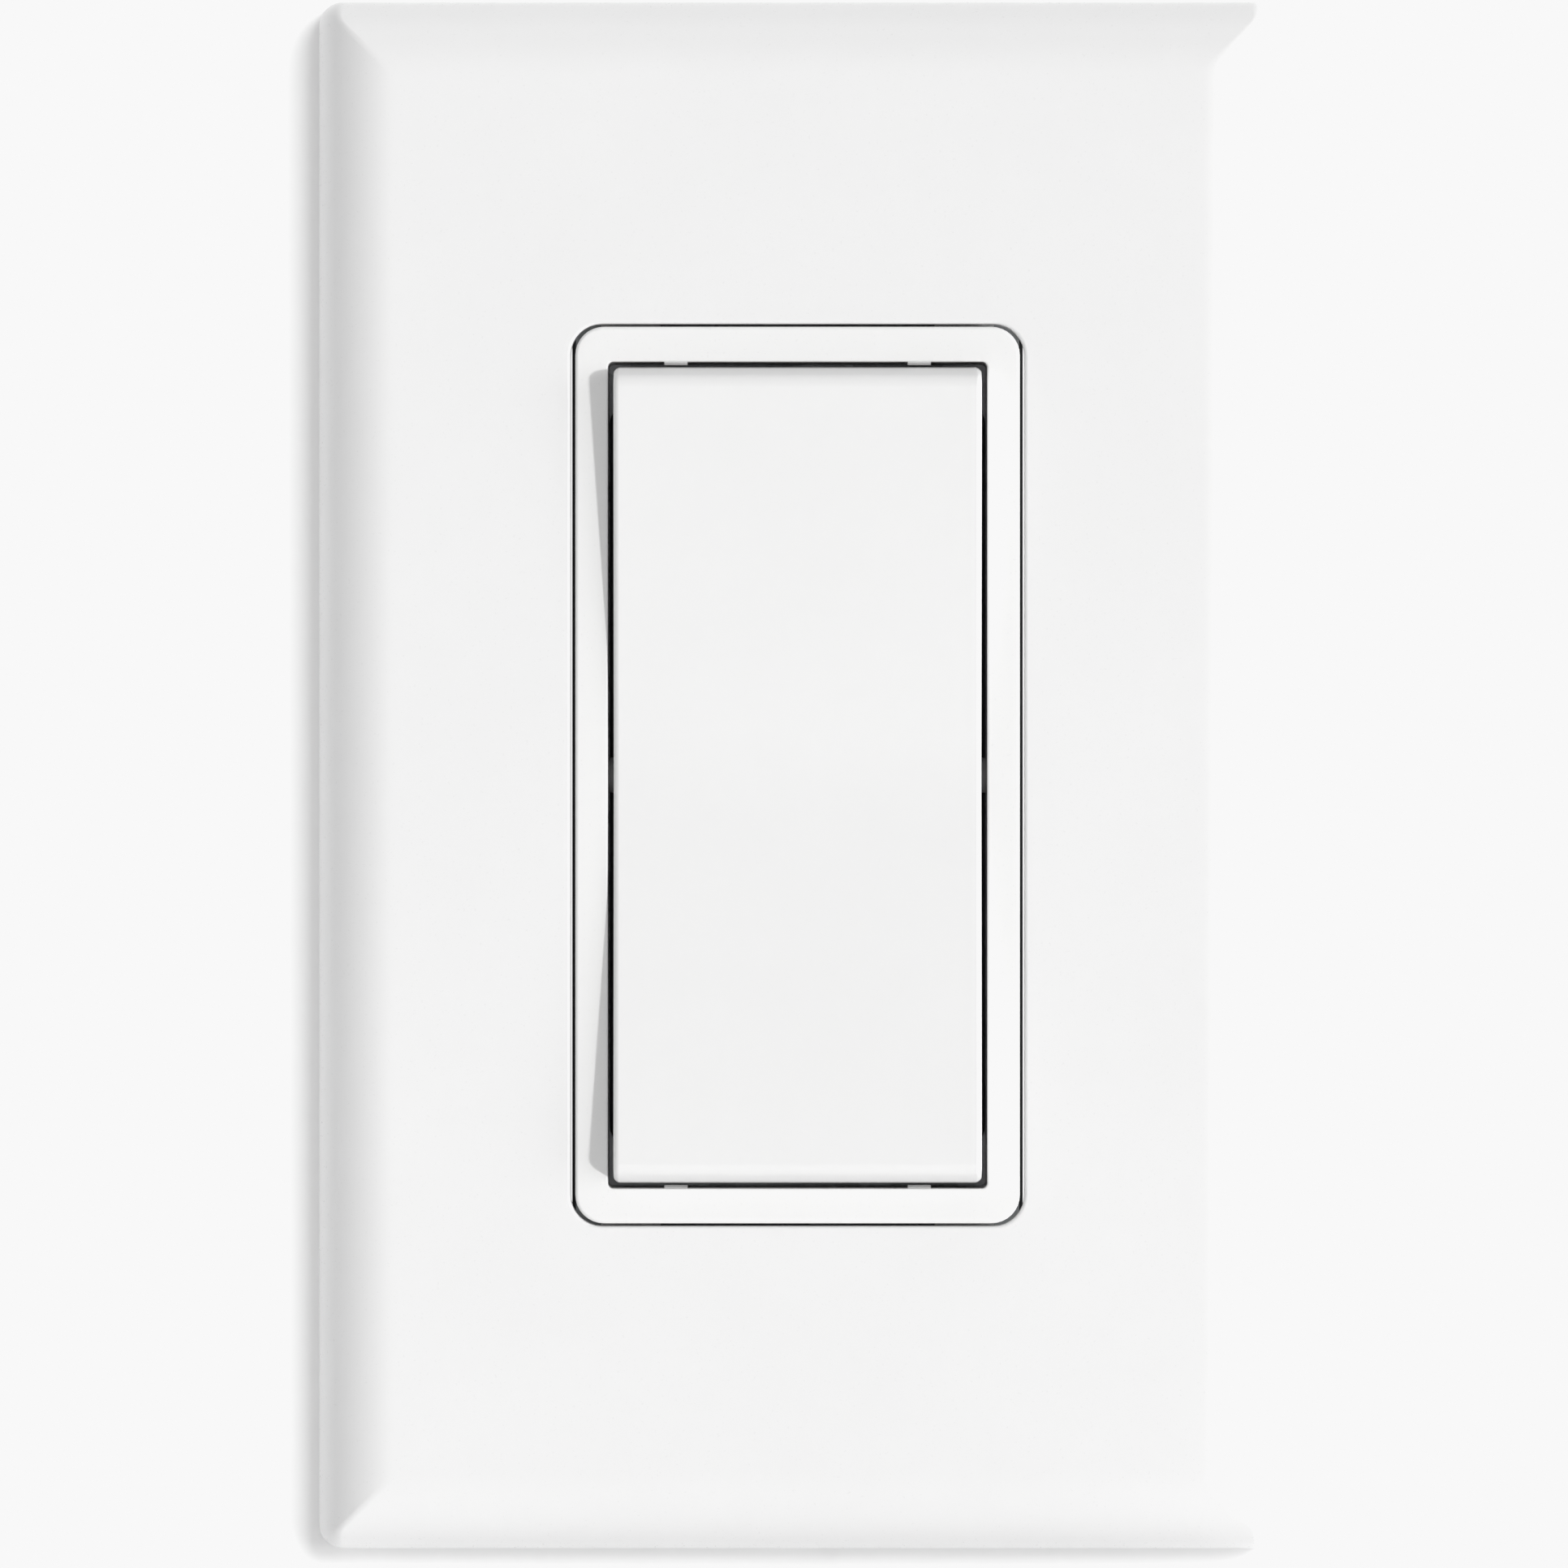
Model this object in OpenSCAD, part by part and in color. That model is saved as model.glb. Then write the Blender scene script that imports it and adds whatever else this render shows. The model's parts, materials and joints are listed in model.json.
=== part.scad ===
// Single-pole rocker (paddle) wall switch with a screwless clip-on wall plate.
// Millimetres. +X right, +Z up, +Y into the wall; the wall surface is the plane y = 0.
// Every sub-part is drawn in a face frame (x right, y up, z out of the wall) and turned once into place.

/* [Wall plate] */
// Width of the clip-on cover plate
plate_w = 70.7; // [68:0.1:80]
// Height of the clip-on cover plate
plate_h = 114.3; // [112:0.1:125]
// How far the plate's face stands off the wall
plate_rise = 6.0; // [5.6:0.1:7]
// Width of the rounded bevel round the plate
bevel_w = 5.5; // [4.5:0.1:6]
// Height of the straight lip under the bevel
lip_h = 1.2; // [1:0.1:1.6]
// Wall thickness of the cover plate
plate_wall = 1.8; // [1.6:0.1:2]
// Width of the device opening in the plate
opening_w = 33.4; // [33.3:0.05:34]
// Height of the device opening in the plate
opening_h = 66.35; // [66.2:0.05:66.8]

/* [Switch frame and paddle] */
// Outer width of the frame round the paddle
frame_w = 32.7; // [32.5:0.05:33]
// Outer height of the frame round the paddle
frame_h = 65.95; // [65.7:0.05:66.1]
// Height of the frame's front face above the wall
frame_rise = 6.2; // [6:0.1:6.6]
// Width of the paddle
paddle_w = 27.05; // [26.5:0.05:27.2]
// Radius of the paddle's end walls about its pivot
paddle_r = 30.15; // [29.9:0.05:30.2]
// How far the middle of the paddle's face stands above the frame
paddle_proud = 0.2; // [0:0.05:0.4]
// Slope of each half of the paddle's face, in degrees
face_slope = 4.37; // [3:0.01:5]
// Rocking angle each way from the middle, in degrees
rock_angle = 4.4; // [3:0.1:4.4]

/* [Mounting] */
// Spacing of the box screws
box_screw_spacing = 83.34; // [83.2:0.01:83.5]
// Spacing of the plate screws
plate_screw_spacing = 96.84; // [96.7:0.01:97]
// Outside radius of the 6-32 screws
screw_r = 1.7525; // [1.7:0.0025:1.78]
// Thickness of the strap's steel
strap_t = 1.2; // [1:0.05:1.3]

/* [Housing] */
// Width of the rear housing
housing_w = 33.4; // [33:0.1:34]
// Height of the rear housing
housing_h = 70.8; // [70.6:0.1:72]
// How far the housing reaches behind the wall surface
housing_depth = 26.0; // [25.6:0.1:28]
// Radius of the back-wire holes
wire_hole_r = 1.3; // [1.2:0.05:1.4]

/* [Hidden] */

$fn = 64;
eps = 0.01;            // overlap that keeps cuts and joins clean
beyond = 9;            // far enough for a cut to pass right through a plate
gap = 0.05;            // clearance between pieces that only touch

// Cover plate
plate_corner_r = 1.8;
opening_r = 2.3;
bevel_steps = 7;
hollow_mid_z = 3;      // the hollow steps in twice to follow the bevel
hollow_mid_inset = 1.1;
hollow_top_inset = 3.8;
cover_hook_x = 26;     // the four snap hooks' distance from the middle
cover_hook_w = 7;
cover_hook_t = 0.4;
cover_hook_low = 0.3;
cover_hook_bite = 0.8; // how far a hook reaches under the sub-plate's edge
pry_w = 6;             // notch for prying the plate off
pry_h = 1;

// Sub-plate
sub_w = 63.8;
sub_h = 107.8;
sub_t = 1.6;
sub_z = strap_t + gap;
sub_corner_r = 1.5;
sub_ledge = 2;         // how far the sub-plate's edge overhangs its ribs
sub_rib_t = 1.4;
sub_rib_break = 1;     // side clearance where the strap passes through the ribs
sub_opening_w = 34.6;
sub_opening_h = 71.6;
sub_head_r = 2.9;
sub_head_t = 1.2;
sub_screw_end = -6.5;
head_room = 0.3;       // clearance round a sunk screw head

// Strap: the middle is stepped back behind the ears
strap_step = 2.0;
strap_mid_top = strap_t - strap_step;
strap_mid_half = 36.6;
strap_ear_start = 38.0;
strap_half_len = 52.4;
strap_w = 32.8;
strap_ear_end = 45;    // where the wide plaster ears stop
strap_tip_w = 19;
strap_tip_r = 4;
ear_score_x = 11.2;    // dimples along which a plaster ear breaks off
ear_score_r = 0.6;
ear_score_step = 2.3;
ear_score_rows = 3;
window_w = 27.8;
window_h = 55;
window_r = 1.5;
strap_bend = 0.4;      // offset between the two sides of a bend
slot_r = 2.0;
slot_len = 7.6;

// Driver recesses
slot_half_w = 0.45;
cross_half_w = 0.4;

// Box screws
box_head_r = 3.2;
box_head_h = 1.9;
box_neck_r = 1.5;
box_neck_end = -1.8;
box_screw_end = -19.8;
retainer_w = 9;
retainer_h = 6.8;
retainer_t = 1.5;

// Ground tab and screw, lower left
ground_y = -41;
ground_z = -5.4;
ground_tab_x = -15.2;
ground_tab_w = 8;
ground_tab_end = -9.6;
ground_tab_cut = 2.4;  // side of the square cut off each corner of the tab's end
ground_head_r = 3.7;
ground_screw_len = 6.5;
binding_head_t = 2.3;

// Paddle and its pivot
pivot_z = 1.0;
trunnion_r = 1.3;
trunnion_bore_r = trunnion_r + 0.05;
trunnion_len = 2.3;
trunnion_boss_r = 2.6;
paddle_wall = 1.5;
paddle_corner_r = 0.6;
skirt_z = 2.2;
valley_r = 40;         // rounding where the two halves of the face meet
valley_steps = 4;
guide_rib_x = 8.95;
guide_rib_w = 1.7;
guide_rib_low = 4;
guide_rib_top = 5.9;
guide_rib_gap = 0.04;
end_lip_reach = 30.0;  // the end walls stand out a little just above the frame
end_lip_lean = 19.6;   // and lean inwards from there up to the face
end_lip_step = 0.4;    // the lip swells out over this height under the frame's face
valley_low = frame_rise + paddle_proud;
face_under = valley_low - paddle_wall;
cross_rib_t = 1.2;
cross_rib_step = 10;
brace_low = -0.5;
frame_inner_w = 27.9;
frame_inner_h = 60.8;
frame_inner_r = 0.4;
frame_corner_r = 2.1;

// Tower, plunger and spring on the paddle's axis
tower_r = 3.6;
tower_bore_r = 2.45;
tower_end = -6.0;
tower_seat = 3.2;
plunger_r = 2.38;
plunger_top = -1.6;
plunger_shoulder = -7.5;
tip_r = 1.1;
tip_z = -10.0;         // centre of the plunger's round tip
spigot_r = 1.35;
spigot_h = 1.4;
spring_wire_r = 0.25;
spring_r = 1.9;
spring_turns = 6;

// Contact rocker: pivots on the fulcrum blade, driven by the plunger's tip
rocker_z = -14.4;
notch_r = tip_r + 0.15;
notch_half_angle = 35;
cradle_top = tip_z + 1.5;
cradle_w = 7;
cradle_foot = 6.7;
cradle_waist = 4.4;
cradle_crown = 3.9;
arm_t = 0.8;
arm_w = 7;
arm_half = 10.4;
fulcrum_r = 0.6;
trough_r = fulcrum_r + 0.05;
hump_mouth = 1.05;
rivet_y = 5.2;
rivet_r = 0.7;
rivet_head_r = 1.15;
rivet_head_h = 0.6;
rivet_tail_h = 0.5;
rivet_grip = 0.8;      // thickness of the cradle's foot under a rivet head
rocker_angle = 2.5 * rock_angle;

// Contacts
contact_y = -8.5;
contact_r = 1.9;
contact_h = 1.0;
contact_dome_r = 5;
contact_shank_r = 1.0;
closed_gap = 0.03;     // left between the contacts at the end of the throw
dome_centre = contact_h + arm_t / 2 - contact_dome_r;
closed_depth = dome_centre * cos(rocker_angle) - contact_y * sin(rocker_angle) + contact_dome_r;
closed_y = dome_centre * sin(rocker_angle) + contact_y * cos(rocker_angle);
fixed_face = rocker_z - closed_depth - closed_gap;
fixed_h = 1.0;
fixed_r = 2.2;
fixed_chamfer = 0.25;
tongue_t = 1.0;
tongue_half = 2.4;     // the contact sits on a tongue of the switched terminal
tongue_reach = 3.4;
contact_rivet_r = 1.5; // headed end of each contact's shank
contact_rivet_h = 0.5;

// Terminals, both on the right-hand side
terminal_y = 18;
terminal_z = -14.75;
terminal_x = 11.9;
terminal_t = 1.2;
terminal_half_w = 4.6;
terminal_low = -22;
terminal_high = -7.6;
blade_top_half = 4;
link_top = -19;
clamp_x = 8.1;
clamp_t = 1.2;
terminal_head_r = 3.9;
terminal_head_x = 14.2;
terminal_screw_tip = 6.9;
wire_hole_x = 10.6;
wire_hole_dy = 3.1;
wire_hole_chamfer = 0.5;

// Chambers that hold the terminals, and their side windows
chamber_x = 6.3;
chamber_half = 5;
chamber_wall = 1.3;
side_window_half = 4.3;
side_window_low = -21.6;
side_window_high = -8;

// Housing
housing_r = 2.5;
housing_wall = 2.0;
housing_top = strap_mid_top - strap_t - gap;
housing_floor = -housing_depth + housing_wall;
rebate = 0.8;
inner_cover_t = 2.0;
inner_cover_low = housing_top - inner_cover_t;
cover_r = 0.9;
tower_hole_w = 10;
tower_hole_h = 11;
cover_pocket_y = 20;
cover_pocket_w = 12;
cover_pocket_h = 14;
post_x = 12.3;
post_y = 32.9;
post_r = 2.9;
clamp_screw_r = 1.25;
clamp_head_r = 2.2;
clamp_head_h = 1.6;
clamp_head_seat = -22.5;
clamp_screw_end = 3.0;
clamp_pilot_extra = 0.3;
clamp_room = 0.2;
frame_boss_r = 2.2;
frame_boss_top = 3.6;
block_x = 9;           // where the seats inside the housing run into the terminal side
seat_reach = 5.5;
seat_half = 2.2;
seat_top = -20.5;
relief_x = -8;         // pockets in the housing's back
gauge_len = 13;
gauge_depth = 0.6;
pocket_y = 20;
pocket_len = 9;
pocket_r = 1.8;
pocket_depth = 0.5;
bumper_y = 9;
bumper_w = 6;
bumper_h = 3.2;
bumper_low = -18;
bumper_top = rocker_z - arm_t / 2 * cos(rocker_angle) - arm_half * sin(rocker_angle) - gap;

// ---- Helpers, all in the face frame ----

module in_wall() {
    rotate([90, 0, 0]) children();
}

module mirrored(x = 0, y = 0) {
    children();
    mirror([x, y, 0]) children();
}

module at_corners(x, y) {
    for (sx = [-1, 1], sy = [-1, 1]) translate([sx * x, sy * y, 0]) children();
}

// An extrusion along x of an outline drawn in the y-z plane
module along_x(length) {
    rotate([90, 0, 90]) linear_extrude(length, center = true) children();
}

module x_cylinder(r, from, to) {
    translate([from, 0, 0]) rotate([0, 90, 0]) cylinder(h = to - from, r = r);
}

// A box given by its lowest and highest corners
module block(low, high) {
    translate(low) cube([high[0] - low[0], high[1] - low[1], high[2] - low[2]]);
}

module rounded_rect(w, h, r) {
    square([w - 2 * r, h], center = true);
    square([w, h - 2 * r], center = true);
    for (sx = [-1, 1], sy = [-1, 1]) translate([sx * (w / 2 - r), sy * (h / 2 - r)]) circle(r);
}

module rounded_slab(w, h, r, low, high) {
    translate([0, 0, low]) linear_extrude(high - low) rounded_rect(w, h, r);
}

// An obround hole through everything, long side along x
module obround(length, r, low, high) {
    for (s = [-1, 1]) translate([s * (length / 2 - r), 0, low]) cylinder(h = high - low, r = r);
    block([r - length / 2, -r, low], [length / 2 - r, r, high]);
}

// A flat outline made deep enough to cut right through a plate near z = 0
module right_through() {
    translate([0, 0, -beyond]) linear_extrude(2 * beyond) children();
}

// Driver recesses, cut down from z = 0
module slot_recess(r, depth) {
    block([-r, -slot_half_w, -depth], [r, slot_half_w, eps]);
}

module cross_recess(r, depth) {
    block([-r, -cross_half_w, -depth], [r, cross_half_w, eps]);
    block([-cross_half_w, -r, -depth], [cross_half_w, r, eps]);
}

// ---- Wall plate ----

// Inset of the bevel at each of its steps, a quarter of an ellipse
function bevel_inset(a) = bevel_w * (1 - cos(a));
function bevel_z(a) = lip_h + (plate_rise - lip_h) * sin(a);

module plate_slice(inset, z, r) {
    rounded_slab(plate_w - 2 * inset, plate_h - 2 * inset, r, z - 0.02, z);
}

module plate_body() {
    rounded_slab(plate_w, plate_h, plate_corner_r, 0, lip_h);
    hull() for (i = [0:bevel_steps]) {
        a = 90 * i / bevel_steps;
        plate_slice(bevel_inset(a), bevel_z(a), max(0.3, plate_corner_r - bevel_inset(a)), $fn = 32);
    }
}

module plate_hollow() {
    under = plate_rise - plate_wall;
    inner_w = plate_w - 2 * plate_wall;
    inner_h = plate_h - 2 * plate_wall;
    rounded_slab(inner_w, inner_h, 1, -1, lip_h);
    hull() for (step = [[0, lip_h], [hollow_mid_inset, hollow_mid_z], [hollow_top_inset, under]])
        rounded_slab(inner_w - 2 * step[0], inner_h - 2 * step[0], 1, step[1] - eps, step[1], $fn = 16);
}

module cover_hook() {
    root = plate_h / 2 - plate_wall / 2;
    reach = sub_h / 2 - cover_hook_bite;
    translate([cover_hook_x, 0, 0])
        along_x(cover_hook_w)
            polygon([
                [root, cover_hook_low],
                [reach, lip_h - cover_hook_t],
                [reach, lip_h],
                [root, lip_h]
            ]);
}

module cover_plate() {
    bottom = -plate_h / 2;
    color("white") in_wall() {
        difference() {
            plate_body();
            plate_hollow();
            rounded_slab(opening_w, opening_h, opening_r, 0, plate_rise + 1);
            block([-pry_w / 2, bottom - 1, -1], [pry_w / 2, bottom + plate_wall + 1, pry_h]);
        }
        mirrored(x = 1) mirrored(y = 1) cover_hook();
    }
}

// The rib under the sub-plate that stands on the wall, open where the strap passes
module sub_plate_rib() {
    outer = 2 * sub_ledge;
    inner = outer + 2 * sub_rib_t;
    pass = strap_w / 2 + sub_rib_break;
    difference() {
        rounded_slab(sub_w - outer, sub_h - outer, 1, 0, sub_z + eps);
        rounded_slab(sub_w - inner, sub_h - inner, 1, -1, beyond);
        block([-pass, -sub_h, -1], [pass, sub_h, sub_z]);
    }
}

module sub_plate() {
    notch_top = box_screw_spacing / 2;
    notch_r = box_head_r + head_room;
    color("whitesmoke") in_wall() difference() {
        union() {
            rounded_slab(sub_w, sub_h, sub_corner_r, sub_z, sub_z + sub_t);
            sub_plate_rib();
        }
        rounded_slab(sub_opening_w, sub_opening_h, 1, 0, beyond);
        mirrored(y = 1) {
            block([-notch_r, 0, 0], [notch_r, notch_top, beyond]);
            translate([0, notch_top, 0]) cylinder(h = beyond, r = notch_r);
            translate([0, plate_screw_spacing / 2, 0]) {
                cylinder(h = beyond, r = screw_r + gap);
                translate([0, 0, sub_z + sub_t - sub_head_t])
                    cylinder(h = sub_head_t + eps, r1 = screw_r + gap, r2 = sub_head_r + gap);
            }
        }
    }
}

module sub_plate_screws() {
    top = sub_z + sub_t;
    seat = top - sub_head_t;
    color("gainsboro") in_wall() mirrored(y = 1) translate([0, plate_screw_spacing / 2, 0]) difference() {
        union() {
            translate([0, 0, sub_screw_end]) cylinder(h = seat - sub_screw_end + eps, r = screw_r);
            translate([0, 0, seat]) cylinder(h = sub_head_t, r1 = screw_r, r2 = sub_head_r);
        }
        translate([0, 0, top]) slot_recess(sub_head_r + 1, 0.7);
    }
}

// ---- Frame and paddle ----

// Ribs on the frame's end walls, just clear of the arc the paddle's lips swing through
module guide_ribs() {
    swing_r = norm([end_lip_reach, frame_rise - pivot_z]) + guide_rib_gap;
    mirrored(x = 1) mirrored(y = 1) difference() {
        translate([guide_rib_x - guide_rib_w / 2, end_lip_reach - 1, guide_rib_low])
            cube([guide_rib_w, frame_inner_h / 2 + eps - end_lip_reach + 1, guide_rib_top - guide_rib_low]);
        translate([0, 0, pivot_z]) x_cylinder(swing_r, -frame_w, frame_w);
    }
}

module bezel_frame() {
    low = strap_mid_top + gap;
    color("white") in_wall() difference() {
        union() {
            difference() {
                rounded_slab(frame_w, frame_h, frame_corner_r, low, frame_rise);
                rounded_slab(frame_inner_w, frame_inner_h, frame_inner_r, low - 1, frame_rise + 1);
            }
            guide_ribs();
            at_corners(post_x, post_y) translate([0, 0, low])
                cylinder(h = frame_boss_top - low, r = frame_boss_r);
        }
        translate([0, 0, pivot_z]) x_cylinder(trunnion_bore_r, -frame_w, frame_w);
        at_corners(post_x, post_y) translate([0, 0, low - 1])
            cylinder(h = clamp_screw_end + clamp_pilot_extra - low + 1, r = clamp_screw_r + gap);
    }
}

// Height of the paddle's face at height y, and its outline with a rounded valley
valley_centre = valley_low + valley_r;
valley_tangent = valley_r * sin(face_slope);
function face_z(y) =
    valley_centre - valley_r * cos(face_slope) + (y - valley_tangent) * tan(face_slope);
function valley_points(drop) = [
    for (i = [-valley_steps:valley_steps])
        let (a = face_slope * i / valley_steps)
            [valley_r * sin(a), valley_centre - valley_r * cos(a) - drop]
];

// The paddle's side outline: flat at low, a shallow vee on top, dropped by the wall inside
module vee_outline(low, drop) {
    y = paddle_r + 1;
    polygon(concat(
        [[-y, low], [-y, face_z(y) - drop]],
        valley_points(drop),
        [[y, face_z(y) - drop], [y, low]]
    ));
}

// The part of an end wall that stands above the frame
module end_lip() {
    top = face_z(paddle_r);
    lip_top = end_lip_reach - (top - frame_rise) * tan(end_lip_lean);
    inner = lip_top - paddle_wall;
    along_x(paddle_w) polygon([
        [inner, frame_rise - end_lip_step],
        [end_lip_reach - end_lip_step, frame_rise - end_lip_step],
        [end_lip_reach, frame_rise],
        [lip_top, top],
        [inner, top]
    ]);
}

// The paddle's end walls are round about the pivot inside the frame and lean inwards above it
module end_form() {
    trim = frame_rise - end_lip_step;
    core = end_lip_reach - paddle_wall;
    intersection() {
        translate([0, 0, pivot_z]) x_cylinder(paddle_r, -paddle_w / 2, paddle_w / 2);
        block([-paddle_w, -2 * paddle_r, -2 * paddle_r], [paddle_w, 2 * paddle_r, trim]);
    }
    block([-paddle_w / 2, -core, trim - eps], [paddle_w / 2, core, face_z(paddle_r)]);
    mirrored(y = 1) end_lip();
}

module paddle_shell() {
    intersection() {
        end_form();
        along_x(paddle_w) vee_outline(skirt_z, 0);
        rounded_slab(paddle_w, 2 * paddle_r, paddle_corner_r, -20, 20);
    }
}

module paddle_hollow() {
    inner_w = paddle_w - 2 * paddle_wall;
    intersection() {
        translate([0, 0, pivot_z]) x_cylinder(paddle_r - paddle_wall, -inner_w / 2, inner_w / 2);
        along_x(inner_w) vee_outline(skirt_z - 1, paddle_wall);
    }
}

// Bosses and trunnions at the pivot
module paddle_pivots() {
    inner = paddle_w / 2 - paddle_wall;
    outer = paddle_w / 2;
    mirrored(x = 1) {
        translate([0, 0, pivot_z]) x_cylinder(trunnion_boss_r, inner, outer);
        block([inner, -trunnion_boss_r, pivot_z], [outer, trunnion_boss_r, face_under]);
        translate([0, 0, pivot_z]) x_cylinder(trunnion_r, outer - eps, outer + trunnion_len);
    }
}

// A rib across the paddle's inside, from low up into the face
module cross_rib(y, low, high) {
    inner = paddle_w / 2 - paddle_wall;
    block([-inner - eps, y - cross_rib_t / 2, low], [inner + eps, y + cross_rib_t / 2, high]);
}

module paddle() {
    color("white") in_wall() difference() {
        union() {
            difference() {
                paddle_shell();
                paddle_hollow();
            }
            paddle_pivots();
            // Tower for the plunger, braced to the side walls, and stiffening ribs across the halves
            translate([0, 0, tower_end]) cylinder(h = face_under + eps - tower_end, r = tower_r);
            cross_rib(0, brace_low, face_under + 0.3);
            for (i = [1, 2], s = [-1, 1]) cross_rib(s * i * cross_rib_step, skirt_z, face_under + 0.6);
        }
        translate([0, 0, tower_end - eps]) cylinder(h = tower_seat - tower_end, r = tower_bore_r);
    }
}

// ---- Strap and its screws ----

module strap_outline() {
    difference() {
        union() {
            square([strap_w, 2 * strap_ear_end], center = true);
            rounded_rect(strap_tip_w, 2 * strap_half_len, strap_tip_r);
        }
        for (sx = [-1, 1], sy = [-1, 1], row = [1:ear_score_rows])
            translate([sx * ear_score_x, sy * (strap_ear_start - 0.9 + row * ear_score_step)])
                circle(ear_score_r, $fn = 24);
    }
}

// One half of the strap's side outline; the bends keep the steel's thickness nearly even
module strap_half_profile() {
    bottom = strap_mid_top - strap_t;
    end = strap_half_len;
    polygon([
        [-1, bottom], [strap_mid_half, bottom], [strap_ear_start, 0],
        [end, 0], [end, strap_t], [strap_ear_start - strap_bend, strap_t],
        [strap_mid_half - strap_bend, strap_mid_top], [-1, strap_mid_top]
    ]);
}

module ground_tab() {
    translate([ground_tab_x, ground_y, 0]) difference() {
        block([-strap_t, -ground_tab_w / 2, ground_tab_end], [0, ground_tab_w / 2, strap_t]);
        translate([0, 0, ground_z]) x_cylinder(screw_r + gap, -beyond, beyond);
        for (s = [-1, 1]) translate([0, s * ground_tab_w / 2, ground_tab_end])
            rotate([45, 0, 0]) cube([beyond, ground_tab_cut, ground_tab_cut], center = true);
    }
}

module mounting_strap() {
    color("silver") in_wall() {
        difference() {
            intersection() {
                mirrored(y = 1) along_x(strap_w) strap_half_profile();
                right_through() strap_outline();
            }
            right_through() rounded_rect(window_w, window_h, window_r);
            mirrored(y = 1) {
                translate([0, box_screw_spacing / 2, 0]) obround(slot_len, slot_r, -beyond, beyond);
                translate([0, plate_screw_spacing / 2, 0]) right_through() circle(screw_r + gap);
            }
            at_corners(post_x, post_y) right_through() circle(clamp_screw_r + clamp_room);
        }
        ground_tab();
    }
}

module box_screws() {
    seat = strap_t + gap;
    color("gainsboro") in_wall() mirrored(y = 1) translate([0, box_screw_spacing / 2, 0]) difference() {
        union() {
            translate([0, 0, seat]) cylinder(h = box_head_h, r = box_head_r);
            translate([0, 0, box_neck_end - eps]) cylinder(h = seat + gap - box_neck_end, r = box_neck_r);
            translate([0, 0, box_screw_end]) cylinder(h = box_neck_end - box_screw_end, r = screw_r);
        }
        translate([0, 0, seat + box_head_h]) cross_recess(1.9, 1.1);
    }
}

module screw_retainers() {
    color("dimgray") in_wall() mirrored(y = 1) translate([0, box_screw_spacing / 2, 0]) difference() {
        rounded_slab(retainer_w, retainer_h, 1, -gap - retainer_t, -gap);
        right_through() circle(box_neck_r + gap);
    }
}

// A binding screw along x: its head's underside is at x = 0 and its point at x = -length
module binding_screw(head_r, head_t, length) {
    rotate([0, 90, 0]) difference() {
        union() {
            cylinder(h = head_t, r = head_r);
            translate([0, 0, -length]) cylinder(h = length + eps, r = screw_r);
        }
        translate([0, 0, head_t]) {
            slot_recess(head_r + 1, 1.0);
            cross_recess(2.1, 1.3);
        }
    }
}

module ground_screw() {
    color("green") in_wall() translate([ground_tab_x - strap_t - gap, ground_y, ground_z])
        mirror([1, 0, 0]) binding_screw(ground_head_r, binding_head_t, ground_screw_len);
}

// ---- Housing ----

module terminal_block() {
    half = chamber_half + chamber_wall;
    block([chamber_x - chamber_wall, -half, -housing_depth + eps],
          [housing_w / 2 - eps, half, inner_cover_low - gap]);
}

// What is cut from a terminal block: chamber, side window, and wire holes
module terminal_cuts() {
    block([chamber_x, -chamber_half, housing_floor], [terminal_x + terminal_t + gap, chamber_half, 0]);
    block([terminal_x, -side_window_half, side_window_low], [housing_w, side_window_half, side_window_high]);
    for (s = [-1, 1]) translate([wire_hole_x, s * wire_hole_dy, -housing_depth]) {
        translate([0, 0, -1]) cylinder(h = housing_wall + 2, r = wire_hole_r);
        translate([0, 0, -eps])
            cylinder(h = wire_hole_chamfer + eps, r1 = wire_hole_r + wire_hole_chamfer, r2 = wire_hole_r);
    }
}

module housing_shell() {
    inner_w = housing_w - 2 * housing_wall;
    difference() {
        rounded_slab(housing_w, housing_h, housing_r, -housing_depth, housing_top);
        rounded_slab(inner_w, housing_h - 2 * housing_wall, 1, housing_floor, 0);
        rounded_slab(inner_w + 2 * rebate, 2 * (post_y - post_r) + 1, 1, inner_cover_low - gap, 0);
    }
}

module housing_insides() {
    // Posts for the clamping screws
    at_corners(post_x, post_y) translate([0, 0, -housing_depth + eps])
        cylinder(h = housing_top - eps + housing_depth - eps, r = post_r);
    fulcrum_seat();
    contact_post();
    bumper_cup();
}

// Slotted seat of the fulcrum blade
module fulcrum_seat() {
    slot_half = fulcrum_r + gap;
    difference() {
        block([-seat_reach, -seat_half, housing_floor - eps], [block_x, seat_half, seat_top]);
        block([-blade_top_half - gap, -slot_half, terminal_low - gap], [housing_w, slot_half, 0]);
    }
}

// Post under the fixed contact, hollow so that the contact's rivet can be headed
module contact_post() {
    top = fixed_face - fixed_h - tongue_t - gap;
    difference() {
        block([-tongue_reach, closed_y - tongue_half, housing_floor - eps],
              [block_x, closed_y + tongue_half, top]);
        translate([0, closed_y, housing_floor + 1]) cylinder(h = beyond, r = contact_rivet_r + 0.2);
    }
}

// Cup of the stop bumper
module bumper_cup() {
    x = bumper_w / 2;
    y = bumper_h / 2;
    translate([0, bumper_y, 0]) difference() {
        block([-x - 1, -y - 1, housing_floor - eps], [x + 1, y + 1, bumper_low + 0.4]);
        block([-x - gap, -y - gap, bumper_low], [x + gap, y + gap, 0]);
    }
}

// Slots where the terminals' links leave their chambers
module link_slots() {
    wall_middle = terminal_y - chamber_half - chamber_wall / 2;
    for (s = [-1, 1]) translate([0, s * wall_middle, 0])
        block([terminal_x - gap, -2, terminal_low - gap], [terminal_x + terminal_t + gap, 2, 0]);
}

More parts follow.
